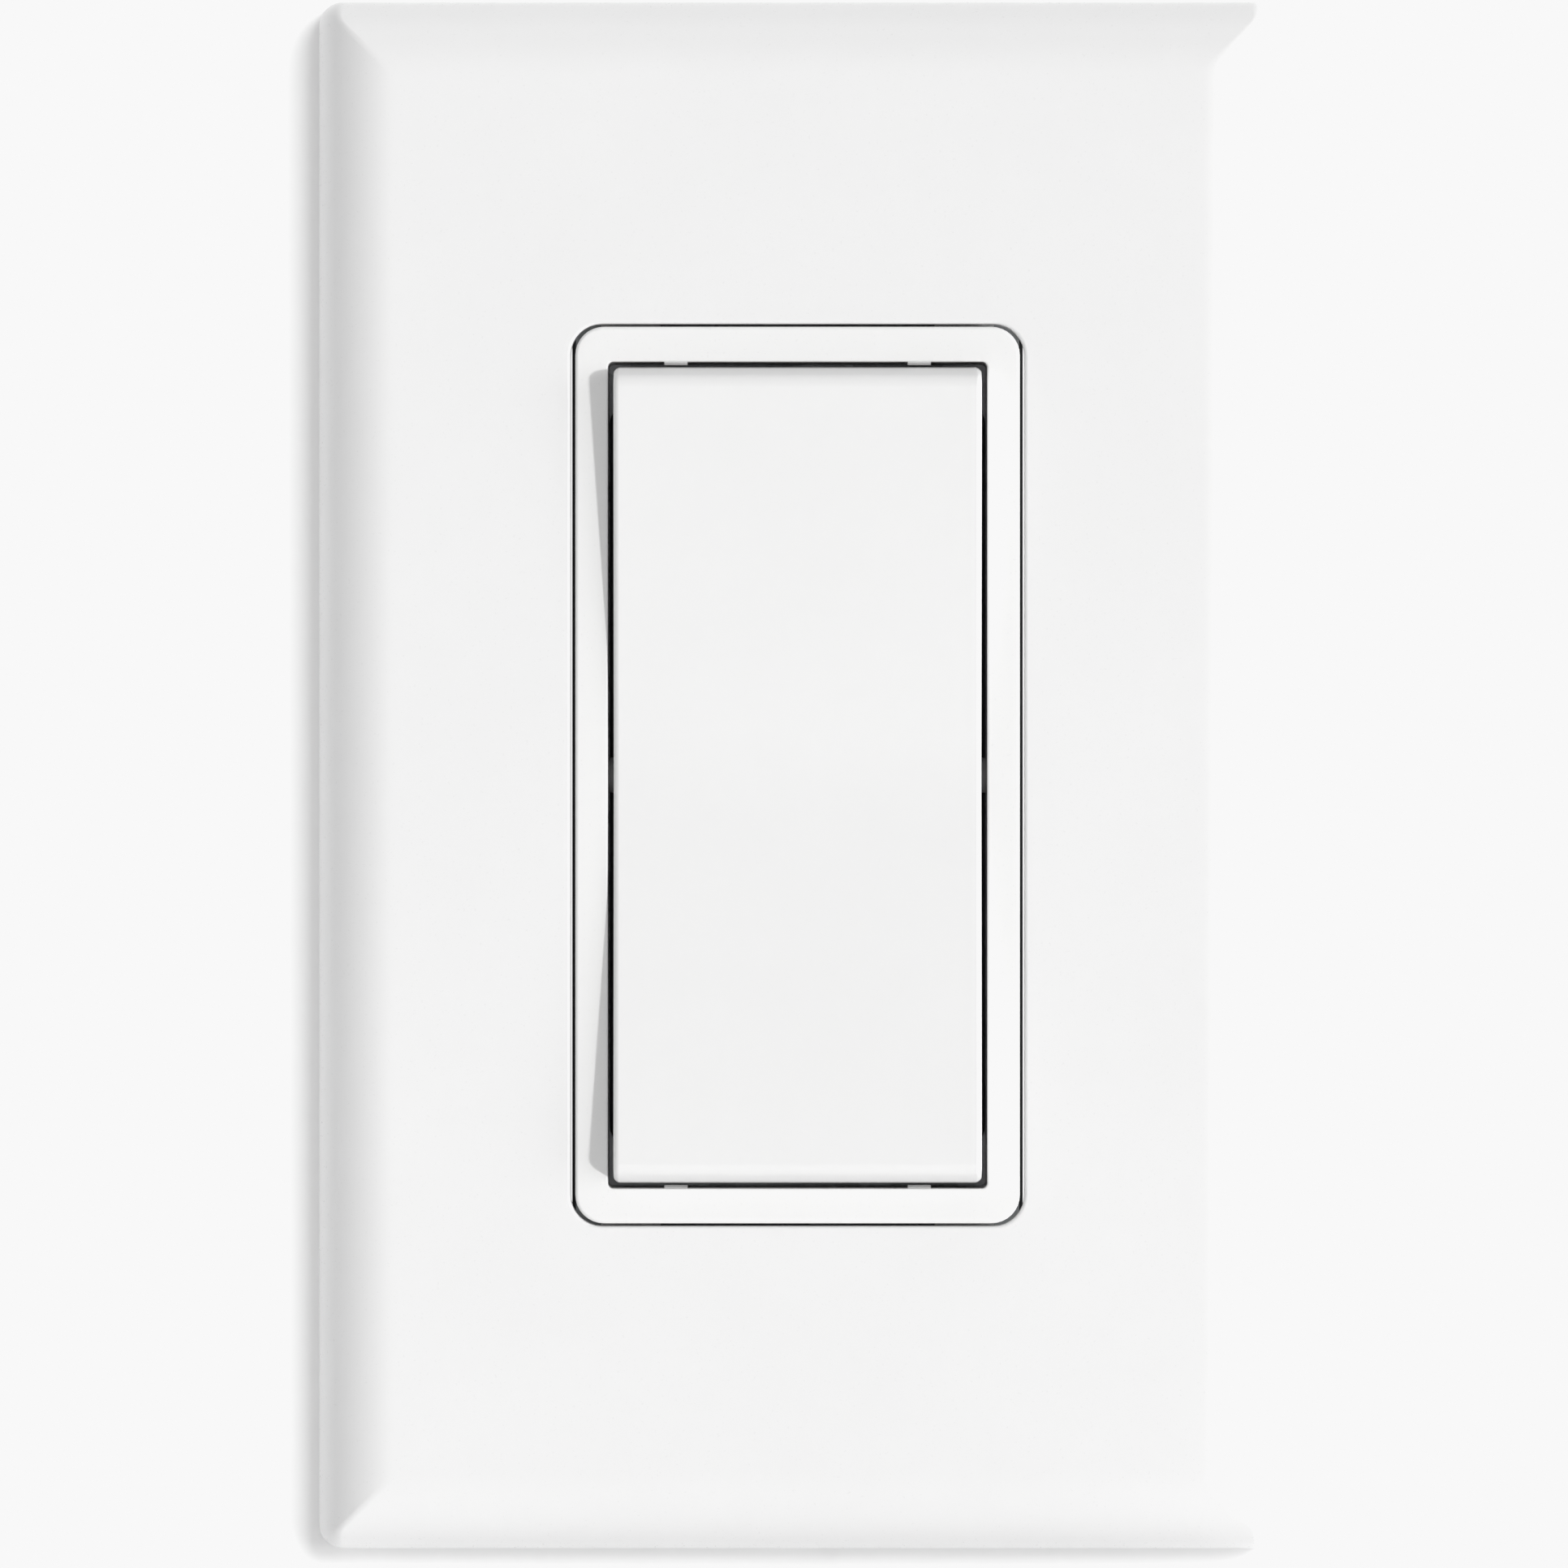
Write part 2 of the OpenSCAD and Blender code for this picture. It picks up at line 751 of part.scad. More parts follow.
// Counterbored holes for the clamping screws
module clamp_holes() {
    at_corners(post_x, post_y) translate([0, 0, -housing_depth - 1]) {
        cylinder(h = housing_depth + 2, r = clamp_screw_r + 0.15);
        cylinder(h = 1 + housing_depth + clamp_head_seat, r = clamp_head_r + head_room);
    }
}

// Wire stripping gauge and two mould pockets in the back
module back_relief() {
    translate([relief_x, 0, -housing_depth]) {
        block([-1.6, -gauge_len / 2, -1], [1.6, gauge_len / 2, gauge_depth]);
        for (s = [-1, 1]) translate([0, s * pocket_y, 0]) rotate([0, 0, 90])
            obround(pocket_len, pocket_r, -1, pocket_depth);
    }
}

module rear_housing() {
    color("dimgray") in_wall() difference() {
        union() {
            housing_shell();
            intersection() {
                housing_insides();
                rounded_slab(housing_w, housing_h, housing_r, -housing_depth, housing_top);
            }
            for (s = [-1, 1]) translate([0, s * terminal_y, 0]) terminal_block();
        }
        for (s = [-1, 1]) translate([0, s * terminal_y, 0]) terminal_cuts();
        link_slots();
        clamp_holes();
        back_relief();
    }
}

// A foot of the cover that holds a terminal down in its chamber
module cover_foot() {
    foot_half = 3.5;
    foot_from = 7;
    block([foot_from, -foot_half, terminal_high + head_room],
          [terminal_x + terminal_t - 0.1, foot_half, inner_cover_low + eps]);
}

module mechanism_cover() {
    play = 0.3;
    w = housing_w - 2 * housing_wall + 2 * rebate - play;
    h = 2 * (post_y - post_r) - play;
    color("darkgray") in_wall() difference() {
        union() {
            rounded_slab(w, h, cover_r, inner_cover_low, housing_top - gap);
            for (s = [-1, 1]) translate([0, s * terminal_y, 0]) cover_foot();
        }
        // Opening for the paddle's tower, and two pockets that thin the sheet
        rounded_slab(tower_hole_w, tower_hole_h, 1.2, -20, beyond);
        for (s = [-1, 1]) translate([0, s * cover_pocket_y, 0])
            rounded_slab(cover_pocket_w, cover_pocket_h, 1, inner_cover_low + 1, beyond);
    }
}

module assembly_screws() {
    head_low = clamp_head_seat - clamp_head_h;
    shank_low = clamp_head_seat - gap - eps;
    color("lightgray") in_wall() at_corners(post_x, post_y) difference() {
        union() {
            translate([0, 0, head_low]) cylinder(h = clamp_head_h - gap, r = clamp_head_r);
            translate([0, 0, shank_low]) cylinder(h = clamp_screw_end - shank_low, r = clamp_screw_r);
        }
        translate([0, 0, head_low]) mirror([0, 0, 1]) cross_recess(1.3, 0.9);
    }
}

// ---- Current path ----

module terminal_plate() {
    x = terminal_x;
    half = terminal_half_w;
    translate([0, terminal_y, 0]) difference() {
        block([x, -half, terminal_low], [x + terminal_t, half, terminal_high]);
        translate([0, 0, terminal_z]) x_cylinder(screw_r + 0.2, x - 1, x + terminal_t + 1);
    }
}

module common_terminal() {
    x = terminal_x;
    color("goldenrod") in_wall() {
        terminal_plate();
        block([x, -fulcrum_r, terminal_low], [x + terminal_t, terminal_y - terminal_half_w + eps, link_top]);
        // Blade with a rounded edge that the contact arm rocks on
        block([-blade_top_half, -fulcrum_r, terminal_low], [x + eps, fulcrum_r, link_top]);
        block([-blade_top_half, -fulcrum_r, link_top - eps], [blade_top_half, fulcrum_r, rocker_z]);
        translate([0, 0, rocker_z]) x_cylinder(fulcrum_r, -blade_top_half, blade_top_half);
    }
}

module switched_terminal() {
    x = terminal_x;
    top = fixed_face - fixed_h;
    link_low = top - tongue_t - 1.5;
    tongue_high_y = closed_y + tongue_half;
    color("goldenrod") in_wall() difference() {
        union() {
            mirror([0, 1, 0]) terminal_plate();
            block([x, terminal_half_w - terminal_y - eps, link_low], [x + terminal_t, tongue_high_y, top]);
            block([0.2 - tongue_reach, closed_y - tongue_half, top - tongue_t],
                  [x + eps, tongue_high_y, top]);
        }
        translate([0, closed_y, top - 5]) cylinder(h = beyond, r = contact_shank_r + gap);
    }
}

module terminal_screws() {
    color("gold") in_wall() mirrored(y = 1) translate([terminal_head_x, terminal_y, terminal_z])
        binding_screw(terminal_head_r, binding_head_t, terminal_head_x - terminal_screw_tip);
}

// Pressure plates with a lip at the top; the grooves bite on the wires
module wire_clamps() {
    half_w = 4.3;
    half_h = 5.5;
    lip_top = 6.4;
    groove = 0.5;
    groove_step = 1.6;
    color("lightgray") in_wall() mirrored(y = 1) translate([0, terminal_y, terminal_z]) difference() {
        union() {
            block([clamp_x, -half_w, -half_h], [clamp_x + clamp_t, half_w, half_h]);
            block([clamp_x, -half_w, half_h - eps], [clamp_x + 2 * clamp_t, half_w, lip_top]);
        }
        x_cylinder(screw_r + gap, clamp_x - 1, clamp_x + 3 * clamp_t);
        for (i = [-2.5:1:2.5], s = [-1, 1])
            translate([clamp_x + clamp_t, s * wire_hole_dy, i * groove_step])
                rotate([0, 45, 0]) cube([groove, 2.2, groove], center = true);
    }
}

module fixed_contact() {
    top = fixed_face - fixed_h;
    shank_low = top - tongue_t - gap;
    color("lightsteelblue") in_wall() translate([0, closed_y, 0]) {
        translate([0, 0, top + eps]) cylinder(h = fixed_h - fixed_chamfer, r = fixed_r);
        translate([0, 0, fixed_face - fixed_chamfer])
            cylinder(h = fixed_chamfer, r1 = fixed_r, r2 = fixed_r - fixed_chamfer);
        translate([0, 0, shank_low]) cylinder(h = tongue_t + gap + 2 * eps, r = contact_shank_r);
        translate([0, 0, shank_low - contact_rivet_h]) cylinder(h = contact_rivet_h, r = contact_rivet_r);
    }
}

// ---- Over-centre mechanism ----

module plunger() {
    color("ivory") in_wall() {
        translate([0, 0, plunger_shoulder]) cylinder(h = plunger_top - plunger_shoulder, r = plunger_r);
        translate([0, 0, plunger_top - eps]) cylinder(h = spigot_h, r = spigot_r);
        translate([0, 0, tip_z]) cylinder(h = plunger_shoulder - tip_z + eps, r = tip_r);
        translate([0, 0, tip_z]) sphere(tip_r);
    }
}

// A closed tube swept along a helix about z, with flat ends
module coil(r, wire, low, high, turns) {
    around = 8;
    steps = turns * 16;
    rise = high - low - 2 * wire;
    points = [
        for (i = [0:steps], j = [0:around - 1])
            let (a = 360 * turns * i / steps, b = 360 * j / around, d = r + wire * cos(b))
                [d * cos(a), d * sin(a), low + wire + rise * i / steps + wire * sin(b)]
    ];
    sides = [
        for (i = [0:steps - 1], j = [0:around - 1])
            let (k = (j + 1) % around)
                [i * around + j, i * around + k, (i + 1) * around + k, (i + 1) * around + j]
    ];
    first = [for (j = [around - 1:-1:0]) j];
    last = [for (j = [0:around - 1]) steps * around + j];
    polyhedron(points = points, faces = concat(sides, [first, last]), convexity = 6);
}

module plunger_spring() {
    seat = tower_seat - eps;
    color("silver") in_wall()
        coil(spring_r, spring_wire_r, plunger_top + gap, seat - gap, spring_turns);
}

// The cradle's side outline: a foot each side for the rivets, and shoulders up to the top
module cradle_outline(low) {
    waist = low + 1.8;
    polygon([
        [-cradle_foot, low], [cradle_foot, low], [cradle_foot, low + 1.0],
        [cradle_waist, waist], [cradle_crown, cradle_top], [-cradle_crown, cradle_top],
        [-cradle_waist, waist], [-cradle_foot, low + 1.0]
    ]);
}

// The flared notch that the plunger's tip runs in
module cradle_notch() {
    rise = cradle_top - tip_z;
    root = notch_r * cos(notch_half_angle);
    drop = notch_r * sin(notch_half_angle);
    mouth = (notch_r + rise * sin(notch_half_angle)) / cos(notch_half_angle);
    translate([0, tip_z]) {
        circle(notch_r);
        polygon([[-root, -drop], [root, -drop], [mouth, rise + eps], [-mouth, rise + eps]]);
    }
}

module contact_cradle() {
    low = rocker_z + arm_t / 2 + gap;
    color("ivory") in_wall() difference() {
        along_x(cradle_w) difference() {
            cradle_outline(low);
            cradle_notch();
            translate([0, rocker_z]) circle(trough_r + arm_t + gap);
        }
        mirrored(y = 1) translate([0, rivet_y, low]) {
            translate([0, 0, -1]) cylinder(h = beyond, r = rivet_r + gap);
            translate([0, 0, rivet_grip]) cylinder(h = beyond, r = rivet_head_r + 0.1);
        }
    }
}

module contact_arm() {
    hump = 2 * trough_r + arm_t;
    color("peru") in_wall() difference() {
        union() {
            translate([0, 0, rocker_z]) x_cylinder(trough_r + arm_t, -arm_w / 2, arm_w / 2);
            rounded_slab(arm_w, 2 * arm_half, 1, rocker_z - arm_t / 2, rocker_z + arm_t / 2);
        }
        translate([0, 0, rocker_z]) x_cylinder(trough_r, -arm_w, arm_w);
        // Open below the hump so that the blade has room to swing
        block([-arm_w, -hump_mouth, rocker_z - 5], [arm_w, hump_mouth, rocker_z]);
        block([-arm_w, -hump, rocker_z - 5], [arm_w, hump, rocker_z - arm_t / 2]);
        mirrored(y = 1) translate([0, rivet_y, rocker_z - 2]) cylinder(h = 4, r = rivet_r + gap);
        translate([0, contact_y, rocker_z - 2]) cylinder(h = 4, r = contact_shank_r + gap);
    }
}

module cradle_rivets() {
    head_z = rocker_z + arm_t / 2 + gap + rivet_grip + gap;
    tail_z = rocker_z - arm_t / 2 - gap;
    color("silver") in_wall() mirrored(y = 1) translate([0, rivet_y, 0]) {
        translate([0, 0, head_z]) cylinder(h = rivet_head_h, r = rivet_head_r);
        translate([0, 0, tail_z - eps]) cylinder(h = head_z - tail_z + 2 * eps, r = rivet_r);
        translate([0, 0, tail_z - rivet_tail_h]) cylinder(h = rivet_tail_h, r = rivet_head_r);
    }
}

module moving_contact() {
    arm_back = rocker_z - arm_t / 2 - gap / 2;
    color("lightsteelblue") in_wall() translate([0, contact_y, 0]) {
        intersection() {
            translate([0, 0, rocker_z - dome_centre]) sphere(contact_dome_r, $fn = 96);
            translate([0, 0, arm_back - contact_h]) cylinder(h = contact_h, r = contact_r);
        }
        translate([0, 0, arm_back - eps]) cylinder(h = arm_t + gap + 2 * eps, r = contact_shank_r);
        translate([0, 0, rocker_z + arm_t / 2 + gap / 2])
            cylinder(h = contact_rivet_h - gap, r = contact_rivet_r);
    }
}

module stop_bumper() {
    color("black") in_wall() block(
        [-bumper_w / 2, bumper_y - bumper_h / 2, bumper_low + gap],
        [bumper_w / 2, bumper_y + bumper_h / 2, bumper_top]
    );
}

cover_plate();
bezel_frame();
paddle();
sub_plate();
sub_plate_screws();
mounting_strap();
box_screws();
screw_retainers();
ground_screw();
rear_housing();
mechanism_cover();
assembly_screws();
common_terminal();
switched_terminal();
terminal_screws();
wire_clamps();
plunger();
plunger_spring();
contact_cradle();
contact_arm();
cradle_rivets();
moving_contact();
fixed_contact();
stop_bumper();
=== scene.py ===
"""Looks for the rocker wall switch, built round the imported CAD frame.

Shapes are worked out in millimetres in a face frame (x right, y up, z out of the wall) and
placed in the row frame, in metres: +X right, +Y into the wall, +Z up.
"""
import json
import math

import bmesh
import bpy
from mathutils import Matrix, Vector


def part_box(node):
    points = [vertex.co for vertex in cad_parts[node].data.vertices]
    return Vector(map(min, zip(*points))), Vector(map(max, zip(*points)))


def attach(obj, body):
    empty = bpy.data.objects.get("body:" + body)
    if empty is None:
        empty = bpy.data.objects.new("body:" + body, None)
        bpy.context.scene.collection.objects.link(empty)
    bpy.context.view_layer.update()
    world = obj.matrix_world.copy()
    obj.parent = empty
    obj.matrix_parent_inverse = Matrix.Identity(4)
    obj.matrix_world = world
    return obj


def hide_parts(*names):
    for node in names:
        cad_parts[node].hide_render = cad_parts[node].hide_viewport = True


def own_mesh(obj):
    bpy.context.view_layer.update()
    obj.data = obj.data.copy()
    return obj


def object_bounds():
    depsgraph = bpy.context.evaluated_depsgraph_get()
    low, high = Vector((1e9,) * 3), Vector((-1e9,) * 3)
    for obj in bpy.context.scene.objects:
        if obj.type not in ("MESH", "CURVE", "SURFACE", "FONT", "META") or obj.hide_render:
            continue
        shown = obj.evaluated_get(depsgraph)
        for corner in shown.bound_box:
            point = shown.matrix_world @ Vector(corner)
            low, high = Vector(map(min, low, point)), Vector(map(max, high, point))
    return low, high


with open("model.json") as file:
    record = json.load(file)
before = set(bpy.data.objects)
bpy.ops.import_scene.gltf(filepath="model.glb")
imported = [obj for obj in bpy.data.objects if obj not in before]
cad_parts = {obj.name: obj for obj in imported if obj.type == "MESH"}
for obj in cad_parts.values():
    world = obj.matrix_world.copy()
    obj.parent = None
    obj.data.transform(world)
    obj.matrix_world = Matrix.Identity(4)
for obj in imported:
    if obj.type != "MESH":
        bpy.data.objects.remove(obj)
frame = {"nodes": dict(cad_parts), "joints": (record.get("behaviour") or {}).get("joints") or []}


def plain_box(bounds):
    return [[float(value) for value in corner] for corner in bounds]


cad_box = plain_box(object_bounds())
nodes = frame["nodes"]
MM = 0.001


# ---------------------------------------------------------------- places and sizes

def face_box(node):
    """A node's lowest and highest corners in the face frame, in millimetres."""
    low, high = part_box(node)
    lowest = (low[0] / MM, low[2] / MM, -high[1] / MM)
    highest = (high[0] / MM, high[2] / MM, -low[1] / MM)
    return lowest, highest


def size_of(node):
    low, high = face_box(node)
    return [high[i] - low[i] for i in range(3)]


def joint_place(name):
    """A hinge's axis position in the face frame, in millimetres."""
    x, y, z = [joint["pos_m"] for joint in frame["joints"] if joint["name"] == name][0]
    return x / MM, z / MM, -y / MM


PLATE_W, PLATE_H, PLATE_RISE = size_of("cover_plate")
FRAME_W = size_of("bezel_frame")[0]
FRAME_LOW = face_box("bezel_frame")[0][2]
FRAME_RISE = face_box("bezel_frame")[1][2]
PIVOT_Z = joint_place("paddle_rock")[2]

BEVEL_W = 5.5
LIP_H = 1.2
PLATE_WALL = 1.8
PLATE_CORNER_R = 1.8
OPENING = (33.4, 66.35, 2.3)
FRAME_OUTER = (FRAME_W, 65.95, 2.1)
FRAME_INNER = (27.9, 60.8, 0.4)
PADDLE_W = 27.05
PADDLE_R = 30.15
PADDLE_WALL = 1.5
PADDLE_SKIRT_Z = 2.2
TRUNNION_R = 1.3
TRUNNION_PLAY = 0.05
PADDLE_PROUD = 0.2
PADDLE_END_EDGE_R = 0.95
END_LIP_REACH = 30.0
END_LIP_STEP = 0.4
END_LEAN = math.radians(19.6)
PADDLE_SIDE_EDGE_R = 0.42
FACE_SLOPE = math.radians(4.37)
VALLEY_R = 40.0
SCREW_R = 1.7525
SCREW_PITCH = 0.794
NECK_R = SCREW_R - 0.2
THREAD_END = 0.3
BINDING_HEAD_H = 2.3


# ---------------------------------------------------------------- mesh helpers

def place(point):
    x, up, out = point
    return x * MM, -out * MM, up * MM


def link(name, mesh):
    obj = bpy.data.objects.new(name, mesh)
    bpy.context.scene.collection.objects.link(obj)
    return obj


def mesh_from(name, points, faces):
    mesh = bpy.data.meshes.new(name)
    mesh.from_pydata([place(p) for p in points], [], faces)
    shell = bmesh.new()
    shell.from_mesh(mesh)
    bmesh.ops.remove_doubles(shell, verts=shell.verts, dist=1e-7)
    bmesh.ops.recalc_face_normals(shell, faces=shell.faces)
    shell.to_mesh(mesh)
    shell.free()
    mesh.update()
    return mesh


def rounded_loop(w, h, r, z, arc=8):
    """Points round a rounded rectangle at height z, anticlockwise from its right-hand side."""
    points = []
    for corner, (sx, sy) in enumerate(((1, 1), (-1, 1), (-1, -1), (1, -1))):
        for i in range(arc + 1):
            a = math.pi / 2 * (corner + i / arc)
            points.append((sx * (w / 2 - r) + r * math.cos(a), sy * (h / 2 - r) + r * math.sin(a), z))
    return points


def loft(name, loops, closed=False, capped=True):
    """A skin through loops of equally many points; closed joins the last loop to the first."""
    count = len(loops[0])
    points = [point for loop in loops for point in loop]
    faces = []
    spans = len(loops) if closed else len(loops) - 1
    for i in range(spans):
        first, second = i * count, (i + 1) % len(loops) * count
        for j in range(count):
            k = (j + 1) % count
            faces.append((first + j, first + k, second + k, second + j))
    if capped and not closed:
        faces.append(tuple(range(count)))
        faces.append(tuple((len(loops) - 1) * count + j for j in range(count)))
    return mesh_from(name, points, faces)


def quarter(start, end, steps=4):
    """Steps from 0 to 1 of a quarter turn as (across, along) shares, without the first point."""
    turns = [start + (end - start) * i / steps for i in range(1, steps + 1)]
    return [(math.sin(math.radians(t)), math.cos(math.radians(t))) for t in turns]


def cylinder_mesh(name, r, low, high, centre=(0, 0), axis="z", around=48):
    loops = []
    for along in (low, high):
        loop = []
        for i in range(around):
            a = 2 * math.pi * i / around
            u, v = centre[0] + r * math.cos(a), centre[1] + r * math.sin(a)
            loop.append((u, v, along) if axis == "z" else (along, u, v))
        loops.append(loop)
    return loft(name, loops)


def block_mesh(name, low, high):
    corners = [(low[0], low[1]), (high[0], low[1]), (high[0], high[1]), (low[0], high[1])]
    return loft(name, [[(x, y, z) for x, y in corners] for z in (low[2], high[2])])


def applied(obj):
    """Replaces an object's mesh with the result of its modifiers."""
    graph = bpy.context.evaluated_depsgraph_get()
    mesh = bpy.data.meshes.new_from_object(obj.evaluated_get(graph))
    obj.modifiers.clear()
    obj.data = mesh


def combine(obj, meshes, operation):
    """Joins solids to obj, or cuts them from it."""
    for mesh in meshes:
        tool = link("tool", mesh)
        modifier = obj.modifiers.new("solid", "BOOLEAN")
        modifier.object = tool
        modifier.operation = operation
        modifier.solver = "EXACT"
        applied(obj)
        bpy.data.objects.remove(tool)


def finish_shading(obj, angle=32):
    """Smooth shading that keeps hard edges, with flat faces left flat."""
    obj.data.shade_smooth()
    obj.data.set_sharp_from_angle(angle=math.radians(angle))
    modifier = obj.modifiers.new("normals", "WEIGHTED_NORMAL")
    modifier.keep_sharp = True
    modifier.weight = 100


def paint(obj, slot):
    """Gives an object the material of one of the record's slots."""
    obj.data.materials.clear()
    obj.data.materials.append(MATERIALS[slot])


def show(obj, slot, body, *replaced):
    """Gives a piece its material and its body, and hides the CAD nodes it stands for."""
    paint(obj, slot)
    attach(obj, body)
    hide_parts(*replaced)


# ---------------------------------------------------------------- materials

class Nodes:
    """A short way to write a node material."""

    def __init__(self, name):
        self.material = bpy.data.materials.new(name)
        self.material.use_nodes = True
        self.tree = self.material.node_tree
        self.shader = self.tree.nodes["Principled BSDF"]
        self.coords = self.add("ShaderNodeTexCoord").outputs["Object"]

    def add(self, kind, **settings):
        node = self.tree.nodes.new(kind)
        for key, value in settings.items():
            if hasattr(node, key):
                setattr(node, key, value)
            else:
                node.inputs[key].default_value = value
        return node

    def join(self, output, target):
        self.tree.links.new(output, target)

    def noise(self, scale, detail=4.0, rough=0.6, stretch=None):
        source = self.coords
        if stretch:
            mapping = self.add("ShaderNodeMapping", Scale=stretch)
            self.join(source, mapping.inputs["Vector"])
            source = mapping.outputs["Vector"]
        node = self.add("ShaderNodeTexNoise", Scale=scale, Detail=detail, Roughness=rough)
        self.join(source, node.inputs["Vector"])
        return node.outputs["Fac"]

    def between(self, factor, low, high, start=0.3, stop=0.7):
        """A number that runs from low to high as factor runs from start to stop."""
        node = self.add("ShaderNodeMapRange")
        for key, value in zip(("From Min", "From Max", "To Min", "To Max"), (start, stop, low, high)):
            node.inputs[key].default_value = value
        self.join(factor, node.inputs["Value"])
        return node.outputs["Result"]

    def tint(self, factor, dark, light, start=0.3, stop=0.7):
        ramp = self.add("ShaderNodeValToRGB")
        ends = ramp.color_ramp.elements
        ends[0].position, ends[1].position = start, stop
        ends[0].color, ends[1].color = (*dark, 1), (*light, 1)
        self.join(factor, ramp.inputs["Fac"])
        return ramp.outputs["Color"]

    def bump(self, height, distance, strength=1.0, over=None):
        node = self.add("ShaderNodeBump", Strength=strength, Distance=distance)
        self.join(height, node.inputs["Height"])
        if over:
            self.join(over, node.inputs["Normal"])
        return node.outputs["Normal"]

    def finish(self, color, rough, normal=None, **fixed):
        self.join(color, self.shader.inputs["Base Color"])
        self.join(rough, self.shader.inputs["Roughness"])
        if normal:
            self.join(normal, self.shader.inputs["Normal"])
        for key, value in fixed.items():
            self.shader.inputs[key.replace("_", " ")].default_value = value
        return self.material


def shade(color, amount):
    return tuple(channel * amount for channel in color)


def white_plastic(name, color, rough, grain=0.000002):
    """Moulded white plastic: faint mould texture and a slightly uneven gloss."""
    n = Nodes(name)
    cloudy = n.noise(60, 3)
    fine = n.noise(5200, 2)
    ripple = n.noise(240, 2)
    color_out = n.tint(cloudy, shade(color, 0.985), color)
    rough_out = n.between(fine, rough - 0.03, rough + 0.05)
    flow = n.bump(ripple, 0.000012, 0.6)
    normal = n.bump(fine, grain, 0.8, over=flow)
    return n.finish(color_out, rough_out, normal, Specular_IOR_Level=0.45)


def dull_plastic(name, color, rough=0.5, grain=0.00002, fleck=0.88):
    """Matte moulded plastic with a spark-textured surface."""
    n = Nodes(name)
    cloudy = n.noise(140, 5)
    fine = n.noise(2600, 3)
    color_out = n.tint(cloudy, shade(color, fleck), color)
    rough_out = n.between(fine, rough - 0.08, rough + 0.1)
    return n.finish(color_out, rough_out, n.bump(fine, grain, 0.9), Specular_IOR_Level=0.4)


def bare_metal(name, color, rough=0.28, stretch=(1, 1, 12), grain=0.000006, tarnish=0.75):
    """Rolled, drawn or plated metal: streaks along one axis and patchy tarnish."""
    n = Nodes(name)
    patches = n.noise(170, 5)
    streaks = n.noise(900, 3, stretch=stretch)
    color_out = n.tint(patches, shade(color, tarnish), color)
    rough_out = n.between(streaks, rough - 0.08, rough + 0.14)
    return n.finish(color_out, rough_out, n.bump(streaks, grain, 0.8), Metallic=1.0)


def galvanised(name, color):
    """Hot-dipped zinc: pale crystal patches, each with its own sheen."""
    n = Nodes(name)
    crystals = n.add("ShaderNodeTexVoronoi", Scale=420.0, Randomness=1.0)
    n.join(n.coords, crystals.inputs["Vector"])
    cell = n.add("ShaderNodeSeparateColor")
    n.join(crystals.outputs["Color"], cell.inputs["Color"])
    fine = n.noise(3200, 3)
    color_out = n.tint(cell.outputs["Red"], shade(color, 0.8), color, 0.1, 0.9)
    rough_out = n.between(cell.outputs["Green"], 0.3, 0.5, 0.0, 1.0)
    return n.finish(color_out, rough_out, n.bump(fine, 0.00001, 0.7), Metallic=0.95)


WHITE = (0.868, 0.8675, 0.869)
ZINC = (0.62, 0.63, 0.63)

MATERIALS = {
    "plate_white": white_plastic("satin_white_plate", WHITE, 0.3),
    "frame_white": white_plastic("satin_white_frame", (0.888, 0.888, 0.886), 0.3),
    "paddle_white": white_plastic("smooth_white_paddle", (0.862, 0.862, 0.862), 0.33, 0.000001),
    "sub_plate_nylon": dull_plastic("nylon_sub_plate", (0.72, 0.72, 0.7), 0.5, fleck=0.95),
    "housing_thermoset": dull_plastic("dark_thermoset", (0.035, 0.036, 0.04), 0.48, 0.00003, 0.7),
    "barrier_plastic": dull_plastic("grey_barrier", (0.13, 0.135, 0.14)),
    "fibre_washer": dull_plastic("pressed_fibre", (0.12, 0.06, 0.035), 0.75, 0.00005, 0.6),
    "natural_nylon": dull_plastic("natural_nylon", (0.78, 0.74, 0.62), 0.4, 0.00001, 0.95),
    "elastomer": dull_plastic("black_elastomer", (0.02, 0.02, 0.02), 0.65),
    "galvanised_steel": galvanised("galvanised_steel", (0.6, 0.62, 0.64)),
    "plated_screw": bare_metal("zinc_plated_screw", (0.66, 0.65, 0.62), 0.25, (1, 12, 1)),
    "clamp_steel": bare_metal("plated_clamp", ZINC, 0.32),
    "spring_steel": bare_metal("spring_wire", (0.5, 0.5, 0.51), 0.3),
    "terminal_brass": bare_metal("stamped_brass", (0.82, 0.58, 0.24), 0.26, tarnish=0.82),
    "brass_screw": bare_metal("turned_brass", (0.85, 0.61, 0.25), 0.2, (12, 1, 1), tarnish=0.86),
    "arm_copper": bare_metal("copper_alloy", (0.8, 0.42, 0.25), 0.28),
    "contact_silver": bare_metal("silver_contact", (0.86, 0.85, 0.82), 0.22),
    "green_screw": bare_metal("green_plated_screw", (0.02, 0.3, 0.1), 0.3, (12, 1, 1), tarnish=0.6),
}


# ---------------------------------------------------------------- wall plate

def plate_loop(inset, z):
    """The plate's outline, drawn in by inset; its corners never get sharper than the mould allows."""
    least_r = 0.35
    return rounded_loop(PLATE_W - 2 * inset, PLATE_H - 2 * inset, max(PLATE_CORNER_R - inset, least_r), z)


